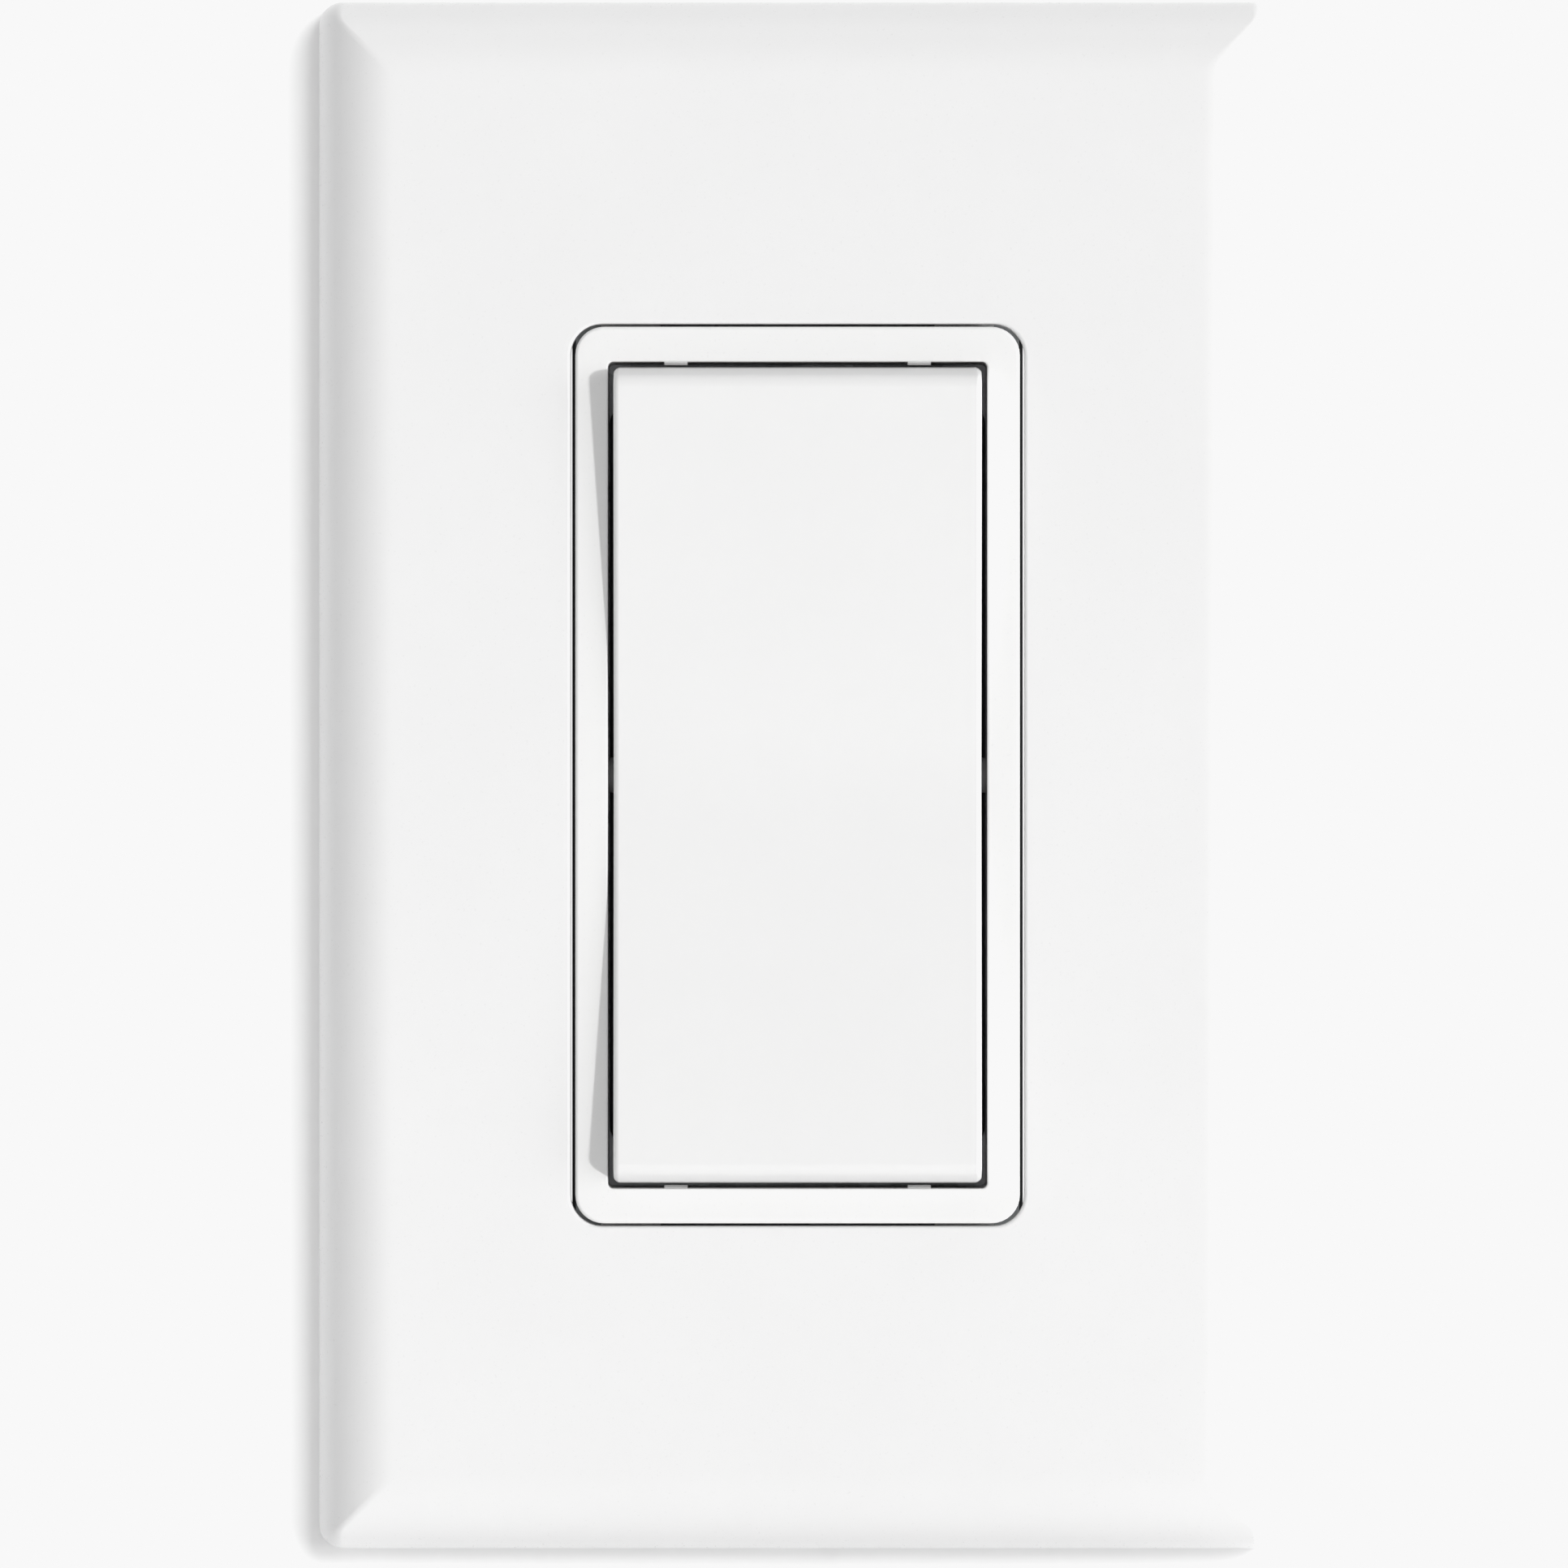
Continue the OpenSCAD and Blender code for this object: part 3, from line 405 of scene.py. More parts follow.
def plate_mesh():
    """Loops from the opening's front edge, over the face and bevel, under the rim and back."""
    steps = 16
    edge = 0.25
    ceiling = PLATE_RISE - PLATE_WALL
    opening_w, opening_h, opening_r = OPENING
    loops = []
    for across, along in quarter(0, 90):
        widen = edge * (1 - along)
        loops.append(rounded_loop(opening_w + 2 * widen, opening_h + 2 * widen, opening_r + widen,
                                  PLATE_RISE - edge + edge * across))
    for i in range(steps + 1):
        a = math.pi / 2 * (1 - i / steps)
        inset = BEVEL_W * (1 - math.cos(a))
        height = LIP_H + (PLATE_RISE - LIP_H) * math.sin(a)
        loops.append(plate_loop(inset, height))
    for across, along in [(0, 1)] + quarter(0, 90, 3):
        inset = edge * (1 - along)
        loops.append(plate_loop(inset, edge * (1 - across)))
    inner_w, inner_h = PLATE_W - 2 * PLATE_WALL, PLATE_H - 2 * PLATE_WALL
    inner_r = 1
    shoulder = (2.2, 3.0)
    under_face = (7.6, ceiling)
    for shrink, height in ((0, 0), (0, LIP_H), shoulder, under_face):
        loops.append(rounded_loop(inner_w - shrink, inner_h - shrink, inner_r, height))
    for height in (ceiling, PLATE_RISE - edge):
        loops.append(rounded_loop(opening_w, opening_h, opening_r, height))
    return loft("cover_plate", loops, closed=True)


def plate_hooks():
    """Four clip hooks inside the top and bottom walls."""
    middle_x, half_w, overlap, foot, tip = 26, 3.5, 0.8, 0.3, 0.4
    wall = PLATE_H / 2 - PLATE_WALL + foot
    reach = size_of("sub_plate")[1] / 2 - overlap
    outline = [(wall, foot), (reach, LIP_H - tip), (reach, LIP_H), (wall, LIP_H)]
    hooks = []
    for sx in (-1, 1):
        for sy in (-1, 1):
            ends = [[(sx * middle_x + dx, sy * y, z) for y, z in outline] for dx in (-half_w, half_w)]
            hooks.append(loft("hook", ends))
    return hooks


def build_cover_plate():
    obj = link("cover_plate_moulded", plate_mesh())
    combine(obj, plate_hooks(), "UNION")
    bottom = -PLATE_H / 2
    half_w, height = 3, 1
    pry_notch = block_mesh("pry", (-half_w, bottom - 1, -1), (half_w, bottom + PLATE_WALL + 1, height))
    combine(obj, [pry_notch], "DIFFERENCE")
    finish_shading(obj)
    show(obj, "plate_white", "switch_frame", "cover_plate")


# ---------------------------------------------------------------- frame round the paddle

def guide_rib(x, end):
    """A low rib on the frame's end wall, just clear of the arc the paddle's lip swings through.

    Its top slopes down from the wall, so it stays in the shade of the gap.
    """
    low, slope_low, high, clearance, half_w, steps = 4.0, 5.4, 5.9, 0.04, 0.85, 6
    swing = math.hypot(END_LIP_REACH, FRAME_RISE - PIVOT_Z) + clearance
    wall = FRAME_INNER[1] / 2
    rows = [(wall - clearance, high)]
    for i in range(steps + 1):
        z = slope_low + (low - slope_low) * i / steps
        rows.append((math.sqrt(swing ** 2 - (z - PIVOT_Z) ** 2), z))
    root = wall + 0.1
    loops = []
    for tip, z in rows:
        corners = ((-half_w, tip), (half_w, tip), (half_w, root), (-half_w, root))
        loops.append([(x + dx, end * y, z) for dx, y in corners])
    return loft("rib", loops)


def build_bezel():
    outer_edge, inner_edge = 0.25, 0.15
    outer_w, outer_h, outer_r = FRAME_OUTER
    inner_w, inner_h, inner_r = FRAME_INNER
    loops = [rounded_loop(outer_w, outer_h, outer_r, FRAME_LOW)]
    for across, along in [(0, 1)] + quarter(0, 90):
        inset = outer_edge * (1 - along)
        loops.append(rounded_loop(outer_w - 2 * inset, outer_h - 2 * inset, outer_r - inset,
                                  FRAME_RISE - outer_edge + outer_edge * across))
    for across, along in [(0, 1)] + quarter(0, 90):
        widen = inner_edge * (1 - across)
        loops.append(rounded_loop(inner_w + 2 * widen, inner_h + 2 * widen, inner_r + widen,
                                  FRAME_RISE - inner_edge * (1 - along)))
    loops.append(rounded_loop(inner_w, inner_h, inner_r, FRAME_LOW))
    obj = link("bezel_frame_moulded", loft("bezel_frame", loops, closed=True))
    boss_x, boss_y, boss_r, boss_top = 12.3, 32.9, 2.2, 3.6
    pilot_r, pilot_top = 1.3, 3.3
    rib_x = 8.95
    corners = [(sx * boss_x, sy * boss_y) for sx in (-1, 1) for sy in (-1, 1)]
    added = [cylinder_mesh("boss", boss_r, FRAME_LOW, boss_top, c) for c in corners]
    added += [guide_rib(x, end) for x in (-rib_x, rib_x) for end in (-1, 1)]
    combine(obj, added, "UNION")
    pilots = [cylinder_mesh("pilot", pilot_r, FRAME_LOW - 1, pilot_top, c, around=24) for c in corners]
    combine(obj, pilots, "DIFFERENCE")
    bore = cylinder_mesh("bore", TRUNNION_R + TRUNNION_PLAY, -FRAME_W, FRAME_W, (0, PIVOT_Z), "x")
    combine(obj, [bore], "DIFFERENCE")
    finish_shading(obj)
    show(obj, "frame_white", "switch_frame", "bezel_frame")


# ---------------------------------------------------------------- paddle

def face_height(y):
    """Height of the paddle's face: two flat halves that meet in a rounded valley."""
    reach = VALLEY_R * math.sin(FACE_SLOPE)
    centre = FRAME_RISE + PADDLE_PROUD + VALLEY_R
    if abs(y) <= reach:
        return centre - math.sqrt(VALLEY_R ** 2 - y * y)
    return centre - VALLEY_R * math.cos(FACE_SLOPE) + (abs(y) - reach) * math.tan(FACE_SLOPE)


def end_edge_centre(thinner, edge_r):
    """Centre of the arc that rounds the face's end into the leaning end wall."""
    wall = (END_LIP_REACH - thinner) * math.cos(END_LEAN) + FRAME_RISE * math.sin(END_LEAN) - edge_r
    reach = VALLEY_R * math.sin(FACE_SLOPE)
    face = (face_height(reach) - thinner) * math.cos(FACE_SLOPE) - reach * math.sin(FACE_SLOPE) - edge_r
    scale = math.cos(END_LEAN - FACE_SLOPE)
    y = (wall * math.cos(FACE_SLOPE) - face * math.sin(END_LEAN)) / scale
    z = (face * math.cos(END_LEAN) + wall * math.sin(FACE_SLOPE)) / scale
    return y, z


def side_outline(thinner, edge_r):
    """One side of the paddle, or of its hollow when thinner is the wall, from skirt to skirt.

    It runs up the round end wall, out over the lip, over the face and down the other end.
    """
    radius = PADDLE_R - thinner
    lip_low = FRAME_RISE - END_LIP_STEP
    wall_low = math.asin((PADDLE_SKIRT_Z - PIVOT_Z) / radius)
    wall_top = math.asin((lip_low - PIVOT_Z) / radius)
    face_angle = math.pi / 2 + FACE_SLOPE
    wall_steps, edge_steps, face_steps = 6, 8, 36
    upper = []
    for i in range(wall_steps + 1):
        a = wall_low + (wall_top - wall_low) * i / wall_steps
        upper.append((radius * math.cos(a), PIVOT_Z + radius * math.sin(a)))
    upper.append((END_LIP_REACH - thinner, FRAME_RISE))
    centre_y, centre_z = end_edge_centre(thinner, edge_r)
    for i in range(edge_steps):
        a = END_LEAN + (face_angle - END_LEAN) * i / edge_steps
        upper.append((centre_y + edge_r * math.cos(a), centre_z + edge_r * math.sin(a)))
    face_end = centre_y + edge_r * math.cos(face_angle)
    face = []
    for i in range(face_steps + 1):
        y = face_end * (1 - 2 * i / face_steps)
        face.append((y, face_height(y) - thinner))
    lower = [(-y, z) for y, z in reversed(upper)]
    return upper + face + lower


def boss_outline(radius, low):
    """The trunnion boss's round underside, from the upper side to the lower."""
    start = math.asin((low - PIVOT_Z) / radius)
    steps = 16
    return [(radius * math.cos(start - (math.pi + 2 * start) * i / steps),
             PIVOT_Z + radius * math.sin(start - (math.pi + 2 * start) * i / steps))
            for i in range(steps + 1)]


def paddle_shell():
    """An open-backed shell: outer skin, inner skin, and the rim that joins them."""
    half_w = PADDLE_W / 2
    inner_w = half_w - PADDLE_WALL
    outer = side_outline(0, PADDLE_END_EDGE_R)
    inner = side_outline(PADDLE_WALL, 0.2)
    boss = boss_outline(2.6, PADDLE_SKIRT_Z)
    points, faces = [], []

    def add(outline, x):
        first = len(points)
        points.extend((x, y, z) for y, z in outline)
        return list(range(first, len(points)))

    rings = {}
    for side in (-1, 1):
        rings["outer", side] = add(outer, side * half_w)
        rings["inner", side] = add(inner, side * inner_w)
        rings["outer boss", side] = add(boss, side * half_w)
        rings["inner boss", side] = add(boss, side * inner_w)
        for skin in ("outer", "inner"):
            faces.append(tuple(rings[skin, side] + rings[skin + " boss", side][::-1]))
        rim_out = [rings["outer", side][0]] + rings["outer boss", side] + [rings["outer", side][-1]]
        rim_in = [rings["inner", side][0]] + rings["inner boss", side] + [rings["inner", side][-1]]
        for i in range(len(rim_out) - 1):
            faces.append((rim_out[i], rim_out[i + 1], rim_in[i + 1], rim_in[i]))
    for skin in ("outer", "inner"):
        left, right = rings[skin, -1], rings[skin, 1]
        for i in range(len(left) - 1):
            faces.append((left[i], left[i + 1], right[i + 1], right[i]))
    for end in (0, -1):
        faces.append((rings["outer", -1][end], rings["outer", 1][end],
                      rings["inner", 1][end], rings["inner", -1][end]))
    return mesh_from("paddle", points, faces)


def round_paddle_edges(obj, radius):
    """Rounds the outer shell's long edges, from skirt to skirt on each side."""
    shell = bmesh.new()
    shell.from_mesh(obj.data)
    half_w = PADDLE_W / 2 * MM
    wanted = []
    for edge in shell.edges:
        ends = [v.co for v in edge.verts]
        on_side = all(abs(abs(c.x) - half_w) < 1e-6 for c in ends)
        above_skirt = max(-c.y for c in ends) > (PADDLE_SKIRT_Z + 0.05) * MM
        hard = len(edge.link_faces) == 2 and edge.calc_face_angle() > math.radians(25)
        if hard and above_skirt and on_side:
            wanted.append(edge)
    bmesh.ops.bevel(shell, geom=wanted, offset=radius * MM, segments=5, profile=0.5,
                    affect="EDGES", clamp_overlap=False)
    shell.to_mesh(obj.data)
    shell.free()


def build_paddle():
    obj = link("paddle_moulded", paddle_shell())
    round_paddle_edges(obj, PADDLE_SIDE_EDGE_R)
    inner = PADDLE_W / 2 - PADDLE_WALL
    under = FRAME_RISE + PADDLE_PROUD - PADDLE_WALL
    tower_r, tower_low, bore_r, bore_top = 3.6, -6, 2.45, 3.2
    added = [cylinder_mesh("tower", tower_r, tower_low, under + 0.4)]
    brace_reach, brace_half, brace_low = inner + 0.2, 0.6, -0.5
    added.append(block_mesh("brace", (-brace_reach, -brace_half, brace_low),
                            (brace_reach, brace_half, under + 0.3)))
    for y in (-20, -10, 10, 20):
        added.append(block_mesh("brace", (-brace_reach, y - brace_half, PADDLE_SKIRT_Z + 0.4),
                                (brace_reach, y + brace_half, under + 0.6)))
    tip = face_box("paddle")[1][0]
    for side in (-1, 1):
        ends = sorted((side * (PADDLE_W / 2 - 0.5), side * tip))
        added.append(cylinder_mesh("trunnion", TRUNNION_R, ends[0], ends[1], (0, PIVOT_Z), "x"))
    combine(obj, added, "UNION")
    combine(obj, [cylinder_mesh("bore", bore_r, tower_low - 1, bore_top)], "DIFFERENCE")
    finish_shading(obj)
    show(obj, "paddle_white", "paddle", "paddle")


# ---------------------------------------------------------------- screws

def screw_rows(head, neck, thread_low, thread_high, screw_r, pitch, around):
    """Rows of (radius at each angle, height) from the head's top down to the point."""
    depth = 0.54 * pitch
    rows = [([r] * around, z) for r, z in head + neck]
    step = pitch / 8
    count = int((thread_high - thread_low) / step)
    for k in range(count + 1):
        z = thread_high - k * step
        run_out = min(1.0, (thread_high - z) / pitch, (z - thread_low) / pitch + 0.15)
        row = []
        for i in range(around):
            phase = (z / pitch + i / around) % 1.0
            ridge = min(1.0, max(0.0, 1.35 - 2.7 * abs(phase - 0.5)))
            row.append(screw_r - depth * (1 - ridge * run_out))
        rows.append((row, z))
    core = screw_r - depth
    rows.append(([core * 0.75] * around, thread_low - 0.3))
    return rows


def screw_mesh(name, head, neck, thread_low, thread_high, screw_r=SCREW_R, pitch=SCREW_PITCH, around=40):
    """A screw along z with its thread cut as real relief."""
    rows = screw_rows(head, neck, thread_low, thread_high, screw_r, pitch, around)
    loops = []
    for radii, z in rows:
        loops.append([(r * math.cos(2 * math.pi * i / around), r * math.sin(2 * math.pi * i / around), z)
                      for i, r in enumerate(radii)])
    return loft(name, loops)


def cross_cutter(top, r, depth):
    """A tapered cross recess."""
    arm = 0.42
    outline = [(r, arm), (arm, arm), (arm, r), (-arm, r), (-arm, arm), (-r, arm),
               (-r, -arm), (-arm, -arm), (-arm, -r), (arm, -r), (arm, -arm), (r, -arm)]
    return loft("cross", [[(x * k, y * k, z) for x, y in outline]
                          for k, z in ((1.1, top + 0.1), (0.45, top - depth))])


def slot_cutter(top, r, depth):
    """A straight slot across a head."""
    half_w = 0.42
    return block_mesh("slot", (-r, -half_w, top - depth), (r, half_w, top + 1))


TURNS = {
    "out": lambda u, v, w: (u, v, w),
    "in": lambda u, v, w: (u, -v, -w),
    "right": lambda u, v, w: (w, u, v),
    "left": lambda u, v, w: (-w, v, u),
}


def repeat_at(name, obj, direction, places):
    """One object that holds a copy of obj's mesh at each place, turned to point its head in direction."""
    points, faces = [], []
    source = obj.data
    for px, py, pz in places:
        first = len(points)
        for vertex in source.vertices:
            u, v, w = vertex.co.x / MM, vertex.co.z / MM, -vertex.co.y / MM
            x, y, z = TURNS[direction](u, v, w)
            points.append((px + x, py + y, pz + z))
        faces += [tuple(first + i for i in polygon.vertices) for polygon in source.polygons]
    bpy.data.objects.remove(obj)
    return link(name, mesh_from(name, points, faces))


def domed_head(r, height, flat=0.55, drop=0.0, steps=7):
    """A pan head from its flat top to its underside, at z from height down to drop."""
    rim, edge = 0.3, 0.08
    dome = height - drop - rim
    rows = [(r * flat * 0.5, height), (r * flat, height)]
    for i in range(1, steps + 1):
        a = math.pi / 2 * i / steps
        rows.append((r * (flat + (1 - flat) * math.sin(a)), drop + rim + dome * math.cos(a)))
    rows.append((r, drop + edge))
    rows.append((r - edge, drop))
    return rows


def build_screws(name, node, material, direction, places, mesh, cutters):
    obj = link("screw", mesh)
    combine(obj, cutters, "DIFFERENCE")
    group = repeat_at(name, obj, direction, places)
    finish_shading(group, 40)
    show(group, material, "switch_frame", node)


def pair_apart(spacing):
    """Two places on the middle line, one above and one below."""
    return [(0, side * spacing / 2, 0) for side in (-1, 1)]


def build_box_screws():
    """The long screws that hold the strap to the wall box."""
    low, high = face_box("box_screws")
    head_r = (high[0] - low[0]) / 2
    spacing = high[1] - low[1] - 2 * head_r
    head_h, neck_r, neck_low = 1.9, 1.5, -1.8
    seat = high[2] - head_h
    head = [(r, z + seat) for r, z in domed_head(head_r, head_h)]
    neck = [(neck_r, seat), (neck_r, neck_low)]
    mesh = screw_mesh("box_screw", head, neck, low[2] + THREAD_END, neck_low)
    build_screws("box_screws_threaded", "box_screws", "plated_screw", "out", pair_apart(spacing), mesh,
                 [cross_cutter(high[2], 1.75, 1.2), slot_cutter(high[2], head_r + 1, 0.55)])


def build_sub_plate_screws():
    """Flat-headed screws that hold the sub-plate to the strap."""
    low, high = face_box("sub_plate_screws")
    top, head_r = high[2], (high[0] - low[0]) / 2
    spacing = high[1] - low[1] - 2 * head_r
    head_h, neck_h = 1.2, 0.3
    thread_high = top - (head_h + neck_h)
    head = [(head_r * 0.4, top), (head_r - 0.05, top), (head_r, top - 0.08), (NECK_R, top - head_h)]
    mesh = screw_mesh("sub_screw", head, [(NECK_R, thread_high)], low[2] + THREAD_END, thread_high)
    build_screws("sub_plate_screws_threaded", "sub_plate_screws", "plated_screw", "out",
                 pair_apart(spacing), mesh, [slot_cutter(top, head_r + 1, 0.65)])


def build_assembly_screws():
    """Four screws from the back that clamp housing, strap and frame together."""
    high = face_box("assembly_screws")[1]
    seat, tip = -22.55, high[2]
    head_r, head_h, neck_r, thread_r, pitch, around = 2.2, 1.55, 0.95, 1.25, 0.9, 32
    head = domed_head(head_r, head_h, 0.6)
    mesh = screw_mesh("clamp_screw", head, [(neck_r, 0), (neck_r, -1)], seat - tip + THREAD_END, -1,
                      thread_r, pitch, around)
    places = [(sx * (high[0] - head_r), sy * (high[1] - head_r), seat) for sx in (-1, 1) for sy in (-1, 1)]
    build_screws("assembly_screws_threaded", "assembly_screws", "plated_screw", "in", places, mesh,
                 [cross_cutter(head_h, 1.3, 0.95)])


def binding_screw(name, head_r, neck_end, thread_low):
    """A wire-binding screw with its seat at z = 0."""
    head = domed_head(head_r, BINDING_HEAD_H, 0.72)
    return screw_mesh(name, head, [(NECK_R, 0), (NECK_R, neck_end)], thread_low, neck_end)


def build_binding_screws():
    """The two brass terminal screws on the right and the green ground screw on the left."""
    drive = [cross_cutter(BINDING_HEAD_H, 2.0, 1.5), slot_cutter(BINDING_HEAD_H, 5, 0.9)]
    low, high = face_box("terminal_screws")
    head_r = 3.9
    seat = high[0] - BINDING_HEAD_H
    mesh = binding_screw("terminal_screw", head_r, -0.5, low[0] - seat + THREAD_END)
    middle_z = (low[2] + high[2]) / 2
    places = [(seat, side * (high[1] - head_r), middle_z) for side in (-1, 1)]
    build_screws("terminal_screws_threaded", "terminal_screws", "brass_screw", "right", places, mesh, drive)

    drive = [cross_cutter(BINDING_HEAD_H, 2.0, 1.5), slot_cutter(BINDING_HEAD_H, 5, 0.9)]
    low, high = face_box("ground_screw")
    seat = low[0] + BINDING_HEAD_H
    mesh = binding_screw("ground_screw", 3.7, -0.4, seat - high[0] + THREAD_END)
    middle = (seat, (low[1] + high[1]) / 2, (low[2] + high[2]) / 2)
    build_screws("ground_screw_threaded", "ground_screw", "green_screw", "left", [middle], mesh, drive)


# ---------------------------------------------------------------- plunger spring

def build_spring():
    """A compression spring with closed, squared ends."""
    low, high = face_box("plunger_spring")
    wire = 0.25
    coil_r = (high[0] - low[0]) / 2 - wire
    turns, per_turn, around = 7, 28, 10
    closed_turns = 0.8
    base, top = low[2] + wire, high[2] - wire
    steps = turns * per_turn
    loops = []
    for i in range(steps + 1):
        share = i / steps
        lead = min(max((share * turns - closed_turns) / (turns - 2 * closed_turns), 0.0), 1.0)
        a = 2 * math.pi * turns * share
        z = base + (top - base) * lead
        loop = []
        for j in range(around):
            b = 2 * math.pi * j / around
            r = coil_r + wire * math.cos(b)
            loop.append((r * math.cos(a), r * math.sin(a), z + wire * math.sin(b)))
        loops.append(loop)
    obj = link("plunger_spring_coil", loft("plunger_spring", loops))
    finish_shading(obj, 60)
    show(obj, "spring_steel", "paddle", "plunger_spring")
    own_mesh(obj)


# ---------------------------------------------------------------- CAD nodes that stay

def soften_cad(node, width, slot):
    """Welds a CAD node's mesh, rounds its edges a little and gives it its material."""
    obj = nodes[node]
    paint(obj, slot)
    weld = obj.modifiers.new("weld", "WELD")
    weld.merge_threshold = 2e-6
    planar = obj.modifiers.new("planar", "DECIMATE")
    planar.decimate_type = "DISSOLVE"
    planar.angle_limit = math.radians(0.5)
    bevel = obj.modifiers.new("bevel", "BEVEL")
    bevel.width = width * MM
    bevel.segments = 2
    bevel.limit_method = "ANGLE"
    bevel.angle_limit = math.radians(40)
    bevel.harden_normals = False
    normals = obj.modifiers.new("normals", "WEIGHTED_NORMAL")
    normals.keep_sharp = True


CAD_PIECES = {
    "sub_plate": (0.12, "sub_plate_nylon"),
    "mounting_strap": (0.1, "galvanised_steel"),
    "screw_retainers": (0.1, "fibre_washer"),
    "rear_housing": (0.12, "housing_thermoset"),
    "mechanism_cover": (0.12, "barrier_plastic"),
    "common_terminal": (0.08, "terminal_brass"),
    "switched_terminal": (0.08, "terminal_brass"),
    "wire_clamps": (0.05, "clamp_steel"),
    "fixed_contact": (0.05, "contact_silver"),
    "stop_bumper": (0.15, "elastomer"),
    "plunger": (0.08, "natural_nylon"),
    "contact_cradle": (0.08, "natural_nylon"),
    "contact_arm": (0.06, "arm_copper"),
    "cradle_rivets": (0.06, "plated_screw"),
    "moving_contact": (0.05, "contact_silver"),
}


# ---------------------------------------------------------------- stage, lights and camera

def stage_material(name, color, glow, shown_from, shown_by, seen_by_light):
    """A pale surface the camera sees only when it looks at it squarely enough.

    The surface fades in as the cosine of the viewing angle runs from shown_from to shown_by, and it
    throws no shadow, so it never hides or darkens what lies behind it. It still bounces light.
    """
    material = bpy.data.materials.new(name)
    material.use_nodes = True
    tree = material.node_tree
    tree.nodes.clear()
    add, join = tree.nodes.new, tree.links.new
    geometry, path = add("ShaderNodeNewGeometry"), add("ShaderNodeLightPath")
    dot = add("ShaderNodeVectorMath")
    dot.operation = "DOT_PRODUCT"
    join(geometry.outputs["Incoming"], dot.inputs[0])
    join(geometry.outputs["Normal"], dot.inputs[1])
    fade = add("ShaderNodeMapRange")
    for key, value in (("From Min", shown_from), ("From Max", shown_by)):
        fade.inputs[key].default_value = value
    join(dot.outputs["Value"], fade.inputs["Value"])
    front = add("ShaderNodeMath")
    front.operation = "MULTIPLY"
    facing = add("ShaderNodeMath")
    facing.operation = "SUBTRACT"
    facing.inputs[0].default_value = 1.0
    join(geometry.outputs["Backfacing"], facing.inputs[1])
    join(fade.outputs["Result"], front.inputs[0])
    join(facing.outputs["Value"], front.inputs[1])
    indirect = add("ShaderNodeMath")
    indirect.operation = "MAXIMUM"
    join(path.outputs["Is Diffuse Ray"], indirect.inputs[0])
    join(path.outputs["Is Glossy Ray"], indirect.inputs[1])
    bounce = add("ShaderNodeMath")
    bounce.operation = "MULTIPLY"
    bounce.inputs[1].default_value = seen_by_light
    join(indirect.outputs["Value"], bounce.inputs[0])
    pick = add("ShaderNodeMix")
    join(path.outputs["Is Camera Ray"], pick.inputs["Factor"])
    join(bounce.outputs["Value"], pick.inputs["A"])
    join(front.outputs["Value"], pick.inputs["B"])
    diffuse, emission = add("ShaderNodeBsdfDiffuse"), add("ShaderNodeEmission")
    diffuse.inputs["Color"].default_value = (*color, 1)
    emission.inputs["Color"].default_value = (*color, 1)
    emission.inputs["Strength"].default_value = glow
    lit, clear = add("ShaderNodeAddShader"), add("ShaderNodeBsdfTransparent")
    mix = add("ShaderNodeMixShader")
    join(diffuse.outputs["BSDF"], lit.inputs[0])
    join(emission.outputs["Emission"], lit.inputs[1])
    join(pick.outputs["Result"], mix.inputs["Fac"])
    join(clear.outputs["BSDF"], mix.inputs[1])
    join(lit.outputs["Shader"], mix.inputs[2])
    join(mix.outputs["Shader"], add("ShaderNodeOutputMaterial").inputs["Surface"])
    return material


def stage_sheet(name, corners, faces, material):
    mesh = bpy.data.meshes.new(name)
    mesh.from_pydata(corners, [], faces)
    obj = link(name, mesh)
    mesh.materials.append(material)
    return obj


def sun(name, toward, strength, angle, color=(1, 1, 1)):
    """A sun that shines from the direction toward, seen from the object."""
    light = bpy.data.lights.new(name, "SUN")
    light.energy = strength
    light.angle = math.radians(angle)
    light.color = color
    obj = bpy.data.objects.new(name, light)
    bpy.context.scene.collection.objects.link(obj)
    x, y, z = toward
    obj.rotation_euler = (math.atan2(math.hypot(x, y), z), 0, math.atan2(y, x) + math.pi / 2)
    return obj


def build_stage():
    half = 0.6
    floor_z = cad_box[0][2] - 0.004
    wall_y = 0.00002
    wall = stage_material("backdrop", (0.95, 0.95, 0.95), 0.06, 0.95, 0.97, 1.0)
    floor = stage_material("floor", (0.9, 0.9, 0.9), 0.0, 0.18, 0.24, 1.0)
    # The wall is open where the switch's box would be, so no light bounces off it inside the switch
    box_half_w, box_half_h = 0.026, 0.049
    corners = []
    for w, h in ((half, half), (box_half_w, box_half_h)):
        corners += [(-w, wall_y, -h), (w, wall_y, -h), (w, wall_y, h), (-w, wall_y, h)]
    around = [(i, (i + 1) % 4, (i + 1) % 4 + 4, i + 4) for i in range(4)]
    ground = [(-half, -half, floor_z), (half, -half, floor_z), (half, half, floor_z), (-half, half, floor_z)]
    return [stage_sheet("backdrop", corners, around, wall),
            stage_sheet("floor", ground, [(0, 1, 2, 3)], floor)]


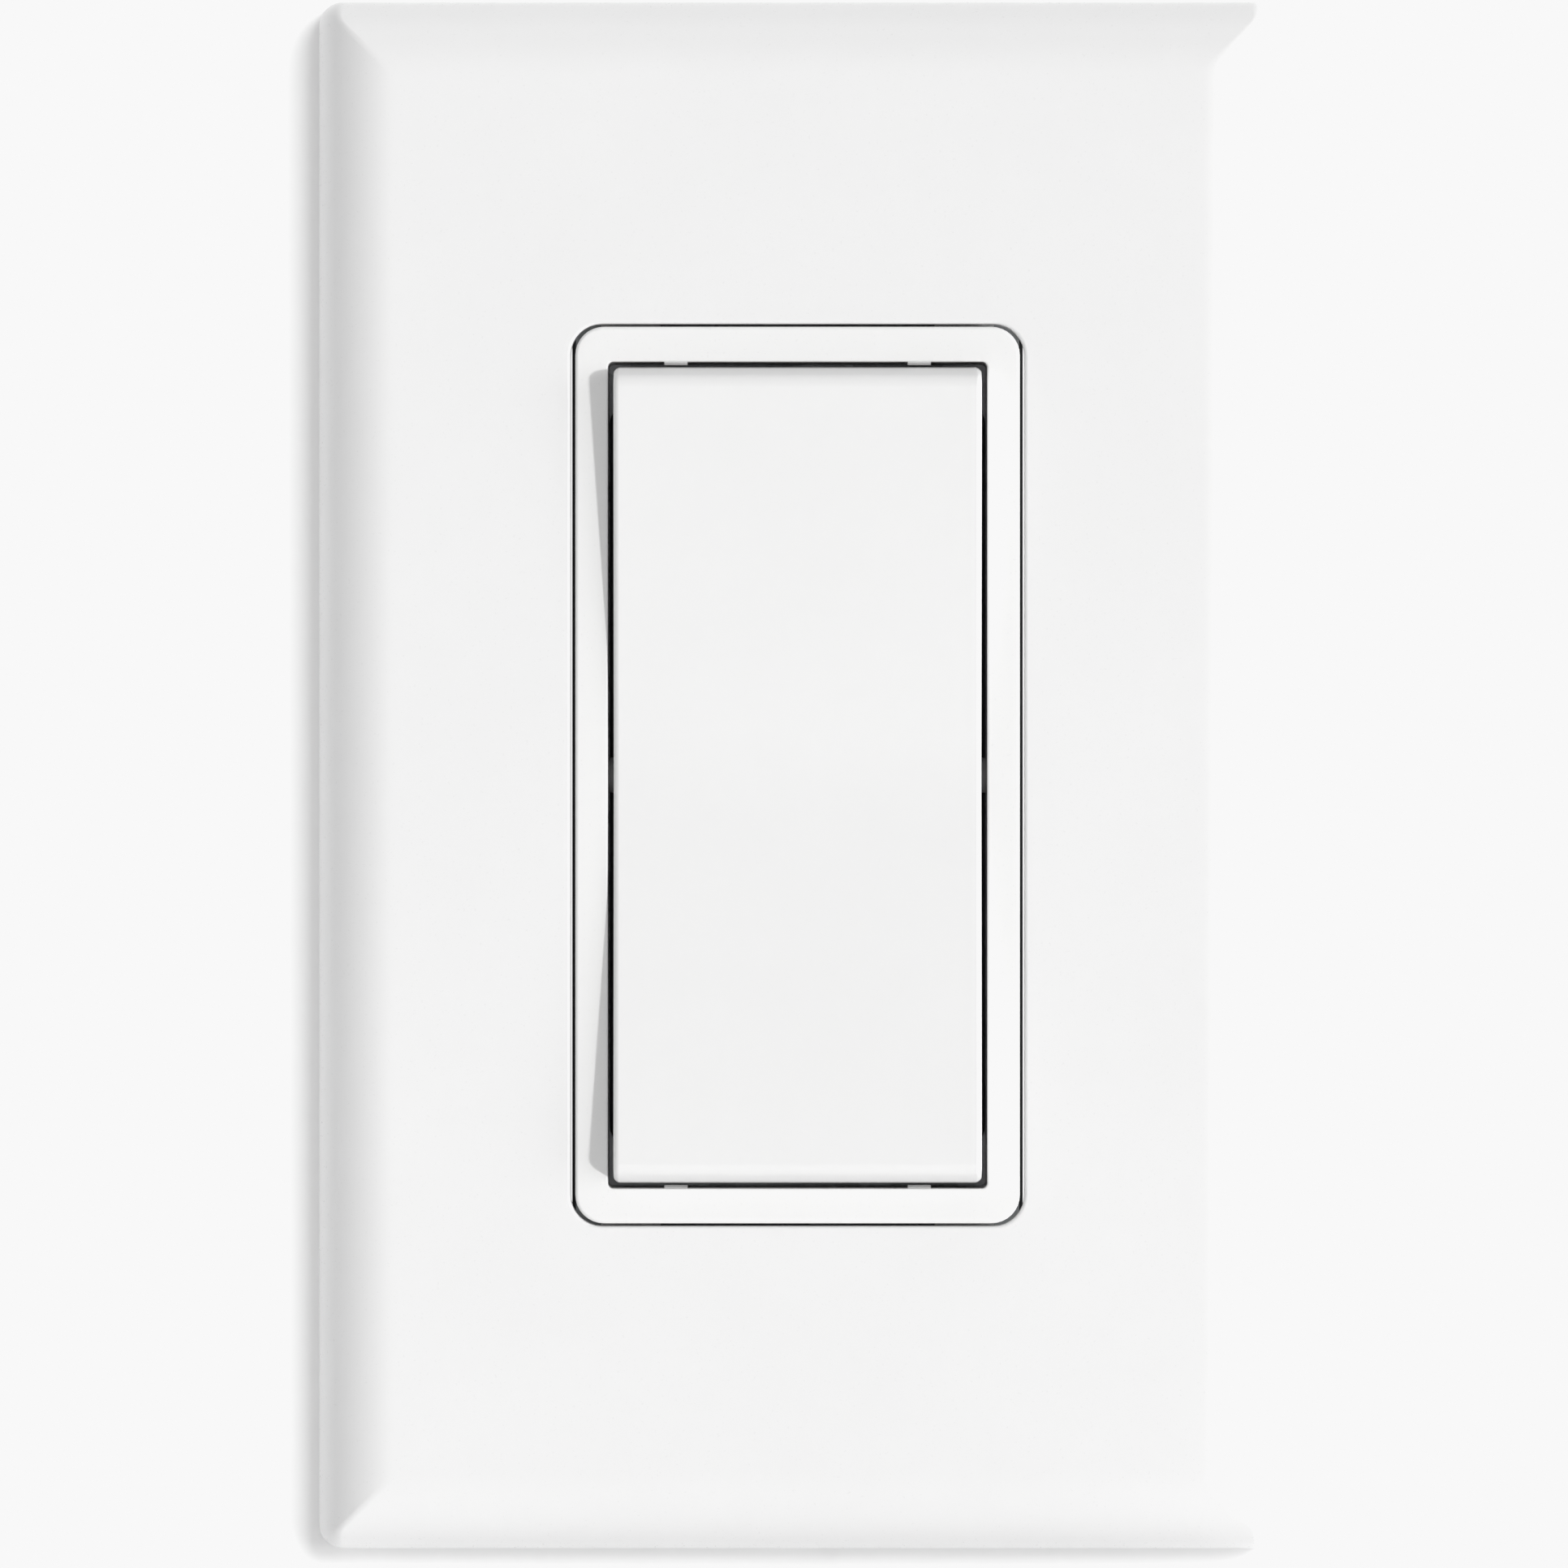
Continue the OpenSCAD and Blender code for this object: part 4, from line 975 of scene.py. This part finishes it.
def build_world(color, light_strength, seen_strength):
    """Even studio light all round, with a flat pale background for the camera."""
    world = bpy.data.worlds.new("studio")
    world.use_nodes = True
    tree = world.node_tree
    tree.nodes.clear()
    add, join = tree.nodes.new, tree.links.new
    path, mix = add("ShaderNodeLightPath"), add("ShaderNodeMixShader")
    light, seen = add("ShaderNodeBackground"), add("ShaderNodeBackground")
    light.inputs["Color"].default_value = (*color, 1)
    light.inputs["Strength"].default_value = light_strength
    seen.inputs["Strength"].default_value = seen_strength
    join(path.outputs["Is Camera Ray"], mix.inputs["Fac"])
    join(light.outputs["Background"], mix.inputs[1])
    join(seen.outputs["Background"], mix.inputs[2])
    join(mix.outputs["Shader"], add("ShaderNodeOutputWorld").inputs["Surface"])
    bpy.context.scene.world = world


def light_only(light, name, objects):
    """Makes a light reach the given objects and no others; every object still throws its shadow."""
    reached = bpy.data.collections.new(name)
    bpy.context.scene.collection.children.link(reached)
    for obj in objects:
        reached.objects.link(obj)
    light.light_linking.receiver_collection = reached


def build_lights(stage):
    key = sun("key", (0.92, -1.0, -0.21), 1.51, 4, (1.0, 0.997, 0.99))
    sun("right_fill", (1.0, -0.6, 0.0), 1.02, 40)
    sun("top_fill", (0.0, -0.25, 1.0), 0.31, 40)
    sun("left_rim", (-1.0, -0.15, 0.1), 0.04, 40)
    back_fill = sun("back_fill", (0.45, 1.0, 0.2), 1.3, 40)
    # The key's crisp shadow falls on the switch only, so the wall keeps the soft one of its own light
    wall_light = sun("wall_light", (0.66, -1.0, 0.6), 2.1, 32)
    light_only(wall_light, "wall_light_reaches", stage[:1])
    switch = [o for o in bpy.context.scene.objects if o.type == "MESH" and o not in stage]
    light_only(key, "key_reaches", switch)
    light_only(back_fill, "back_fill_reaches", switch)


def build_camera():
    """Square on to the plate; the whole frame is 116 mm wide at the wall."""
    seen = 0.11604
    lens, sensor = 300.0, 36.0
    data = bpy.data.cameras.new("camera")
    data.lens, data.sensor_width = lens, sensor
    obj = bpy.data.objects.new("camera", data)
    bpy.context.scene.collection.objects.link(obj)
    obj.location = (-0.00100, -seen * lens / sensor, -0.00066)
    obj.rotation_euler = (math.radians(90), 0, 0)
    data.clip_start, data.clip_end = 0.05, 20
    bpy.context.scene.camera = obj


def set_tones():
    """Plain display transform whose white is the backdrop's pale grey."""
    white = 0.9387
    view = bpy.context.scene.view_settings
    view.view_transform = "Standard"
    view.look = "None"
    view.use_curve_mapping = True
    curves = view.curve_mapping
    curves.extend = "HORIZONTAL"
    curves.curves[3].points[1].location = (1.0, white)
    curves.update()


build_cover_plate()
build_bezel()
build_paddle()
build_box_screws()
build_sub_plate_screws()
build_assembly_screws()
build_binding_screws()
build_spring()
for node_name, (edge_width, slot_name) in CAD_PIECES.items():
    soften_cad(node_name, edge_width, slot_name)
stage_parts = build_stage()
build_world((1.0, 1.0, 1.0), 0.455, 1.2)
build_lights(stage_parts)
build_camera()
set_tones()
